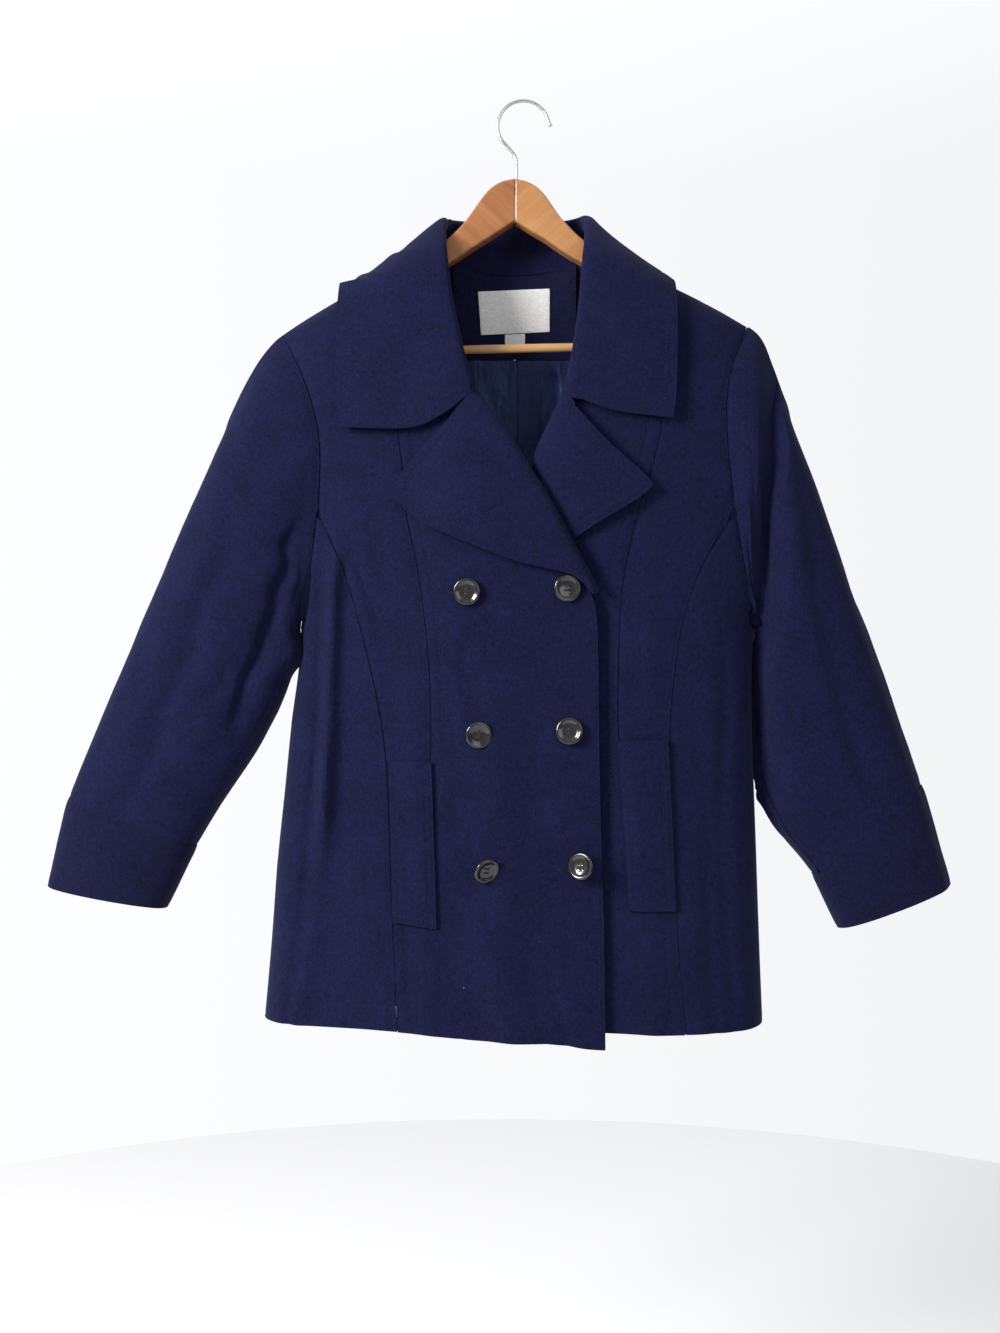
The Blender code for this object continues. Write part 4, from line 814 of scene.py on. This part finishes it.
def makeButton(name, tip, turn, shankLength):
    low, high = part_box("button_" + name)
    center = (Vector(low) + Vector(high)) / 2
    lean = Matrix.Rotation(math.radians(turn), 4, "Z") @ Matrix.Rotation(math.radians(tip), 4, "X")
    place = lean @ Matrix.Rotation(math.radians(90), 4, "X")
    place = Matrix.Translation(center - place.to_3x3() @ Vector((0, 0, 2.35 * mm))) @ place

    bm = turnedButton()
    mesh = bpy.data.meshes.new("button_body_" + name)
    bm.to_mesh(mesh)
    bm.free()
    body = bpy.data.objects.new("button_body_" + name, mesh)
    bpy.context.scene.collection.objects.link(body)
    drill = bmesh.new()
    for x, y in holePlaces():
        bmesh.ops.create_cone(drill, cap_ends=True, segments=20, radius1=button["holeRadius"] * mm,
                              radius2=button["holeRadius"] * mm, depth=14 * mm,
                              matrix=Matrix.Translation((x, y, 0)))
    drillMesh = bpy.data.meshes.new("drill")
    drill.to_mesh(drillMesh)
    drill.free()
    drillPiece = bpy.data.objects.new("drill", drillMesh)
    bpy.context.scene.collection.objects.link(drillPiece)
    holes = body.modifiers.new("holes", "BOOLEAN")
    holes.operation = "DIFFERENCE"
    holes.object = drillPiece
    softRims = body.modifiers.new("softRims", "BEVEL")
    softRims.width = 0.18 * mm
    softRims.segments = 2
    softRims.limit_method = "ANGLE"
    softRims.angle_limit = math.radians(50)
    settleMesh(body)
    bpy.data.objects.remove(drillPiece)
    body.data.transform(place)
    finished(body, buttonBlack, ["button_" + name])

    sewn = bmesh.new()
    strand = 0.38 * mm
    for side in (-1, 1):
        for row in (-1, 0, 1):
            offset = side * button["holeSpread"] * mm + row * strand * 1.5
            shape = Matrix.Diagonal((button["holeSpread"] * 1.15 * mm, strand, strand, 1))
            bmesh.ops.create_uvsphere(sewn, u_segments=8, v_segments=6, radius=1.0,
                                      matrix=Matrix.Translation((0, offset, 2.75 * mm)) @ shape)
    for x, y in holePlaces():
        bmesh.ops.create_cone(sewn, cap_ends=True, segments=10, radius1=0.75 * mm, radius2=0.75 * mm,
                              depth=2.9 * mm, matrix=Matrix.Translation((x, y, 1.25 * mm)))
    bmesh.ops.create_cone(sewn, cap_ends=True, segments=14, radius1=1.9 * mm, radius2=1.6 * mm,
                          depth=shankLength * mm, matrix=Matrix.Translation((0, 0, -shankLength / 2 * mm)))
    threadMesh = bpy.data.meshes.new("button_thread_" + name)
    sewn.to_mesh(threadMesh)
    sewn.free()
    thread = bpy.data.objects.new("button_thread_" + name, threadMesh)
    thread.data.transform(place)
    bpy.context.scene.collection.objects.link(thread)
    finished(thread, threadBlack, [])


for name, (tip, turn, shankLength) in buttonLean.items():
    makeButton(name, tip, turn, shankLength)
print("buttons made")


# buttonholes: a bound slit beside each button of the front edge

def makeButtonhole(name, x, z):
    tree = BVHTree.FromObject(wovenPieces["front_center_right"], bpy.context.evaluated_depsgraph_get())
    bm = bmesh.new()
    steps = 52
    for step in range(steps):
        angle = 2 * math.pi * step / steps
        place = Vector(((x + 9.5 * math.cos(angle)) * mm, -0.09, (z + 1.3 * math.sin(angle)) * mm))
        hit = tree.ray_cast(place, Vector((0, 1, 0)))
        if not hit[0]:
            continue
        out = Vector((0.25 * math.cos(angle), 0, math.sin(angle))).normalized()
        side = out.cross(Vector((0, 1, 0))).normalized()
        turn = Matrix((out, side, Vector((0, -1, 0)))).transposed().to_4x4()
        shape = Matrix.Diagonal((1.25 * mm, 0.3 * mm, 0.35 * mm, 1))
        bmesh.ops.create_uvsphere(bm, u_segments=6, v_segments=4, radius=1.0,
                                  matrix=Matrix.Translation(hit[0]) @ turn @ shape)
    mesh = bpy.data.meshes.new(name)
    bm.to_mesh(mesh)
    bm.free()
    piece = bpy.data.objects.new(name, mesh)
    bpy.context.scene.collection.objects.link(piece)
    finished(piece, threadNavy, [])


for name, x, z in (("buttonhole_top", 49.5, -473.5), ("buttonhole_middle", 50.5, -607.0),
                   ("buttonhole_low", 49.5, -735.0)):
    makeButtonhole(name, x, z)


# stage, light and camera

def stageRound(name, radius, place, color):
    bm = bmesh.new()
    bmesh.ops.create_circle(bm, cap_ends=True, segments=180, radius=radius)
    mesh = bpy.data.meshes.new(name)
    bm.to_mesh(mesh)
    bm.free()
    plane = bpy.data.objects.new(name, mesh)
    plane.location = place
    bpy.context.scene.collection.objects.link(plane)
    plane.data.materials.append(plainMaterial(name + "Paint", {"Base Color": color, "Roughness": 0.9}))


floorHeight = cadBox[0][2] - 0.55
stageRound("floor", 1.6, (0, 0, floorHeight), (0.74, 0.74, 0.75, 1))

# a pale room: brightest behind the coat, dimmer behind the viewer and to the right
world = bpy.data.worlds.new("studio")
world.use_nodes = True
room = world.node_tree
facing = room.nodes.new("ShaderNodeSeparateXYZ")
room.links.new(room.nodes.new("ShaderNodeTexCoord").outputs["Generated"], facing.inputs["Vector"])
behind = rangeNode(room, facing.outputs["Y"], -0.2, 0.6, 0.42, 0.97)
across = rangeNode(room, facing.outputs["X"], -0.9, 0.9, 0.14, -0.14)
above = rangeNode(room, facing.outputs["Z"], 0.3, 1.0, 0.0, 0.45)
strength = mathNode(room, "ADD", mathNode(room, "ADD", behind, across), above)
room.links.new(strength, room.nodes["Background"].inputs["Strength"])
room.nodes["Background"].inputs["Color"].default_value = (0.97, 0.98, 1.0, 1)
bpy.context.scene.world = world


def softbox(name, place, target, size, power, color):
    light = bpy.data.lights.new(name, "AREA")
    light.shape = "RECTANGLE"
    light.size, light.size_y = size
    light.energy = power
    light.color = color
    lamp = bpy.data.objects.new(name, light)
    lamp.location = place
    lamp.rotation_euler = (Vector(target) - Vector(place)).to_track_quat("-Z", "Y").to_euler()
    bpy.context.scene.collection.objects.link(lamp)


softbox("windowLight", (-1.9, -1.5, 0.35), (0.0, 0.0, -0.5), (0.8, 1.1), 118, (1.0, 0.985, 0.96))
softbox("roomFill", (1.6, -2.2, 0.2), (0.0, 0.0, -0.5), (2.0, 2.0), 22, (0.95, 0.97, 1.0))

view = {"distance": 1.5, "center": (-0.01455, -0.5456), "tall": 1.333 * 0.97, "sensor": 36.0}
camera = bpy.data.objects.new("camera", bpy.data.cameras.new("camera"))
camera.data.sensor_fit = "VERTICAL"
camera.data.sensor_height = view["sensor"]
camera.data.lens = view["sensor"] * view["distance"] / view["tall"]
camera.data.clip_end = 100
camera.location = (view["center"][0], -view["distance"], view["center"][1])
camera.rotation_euler = (math.radians(90), 0, 0)
bpy.context.scene.collection.objects.link(camera)
bpy.context.scene.camera = camera
bpy.context.scene.view_settings.view_transform = "Standard"
print("stage set")
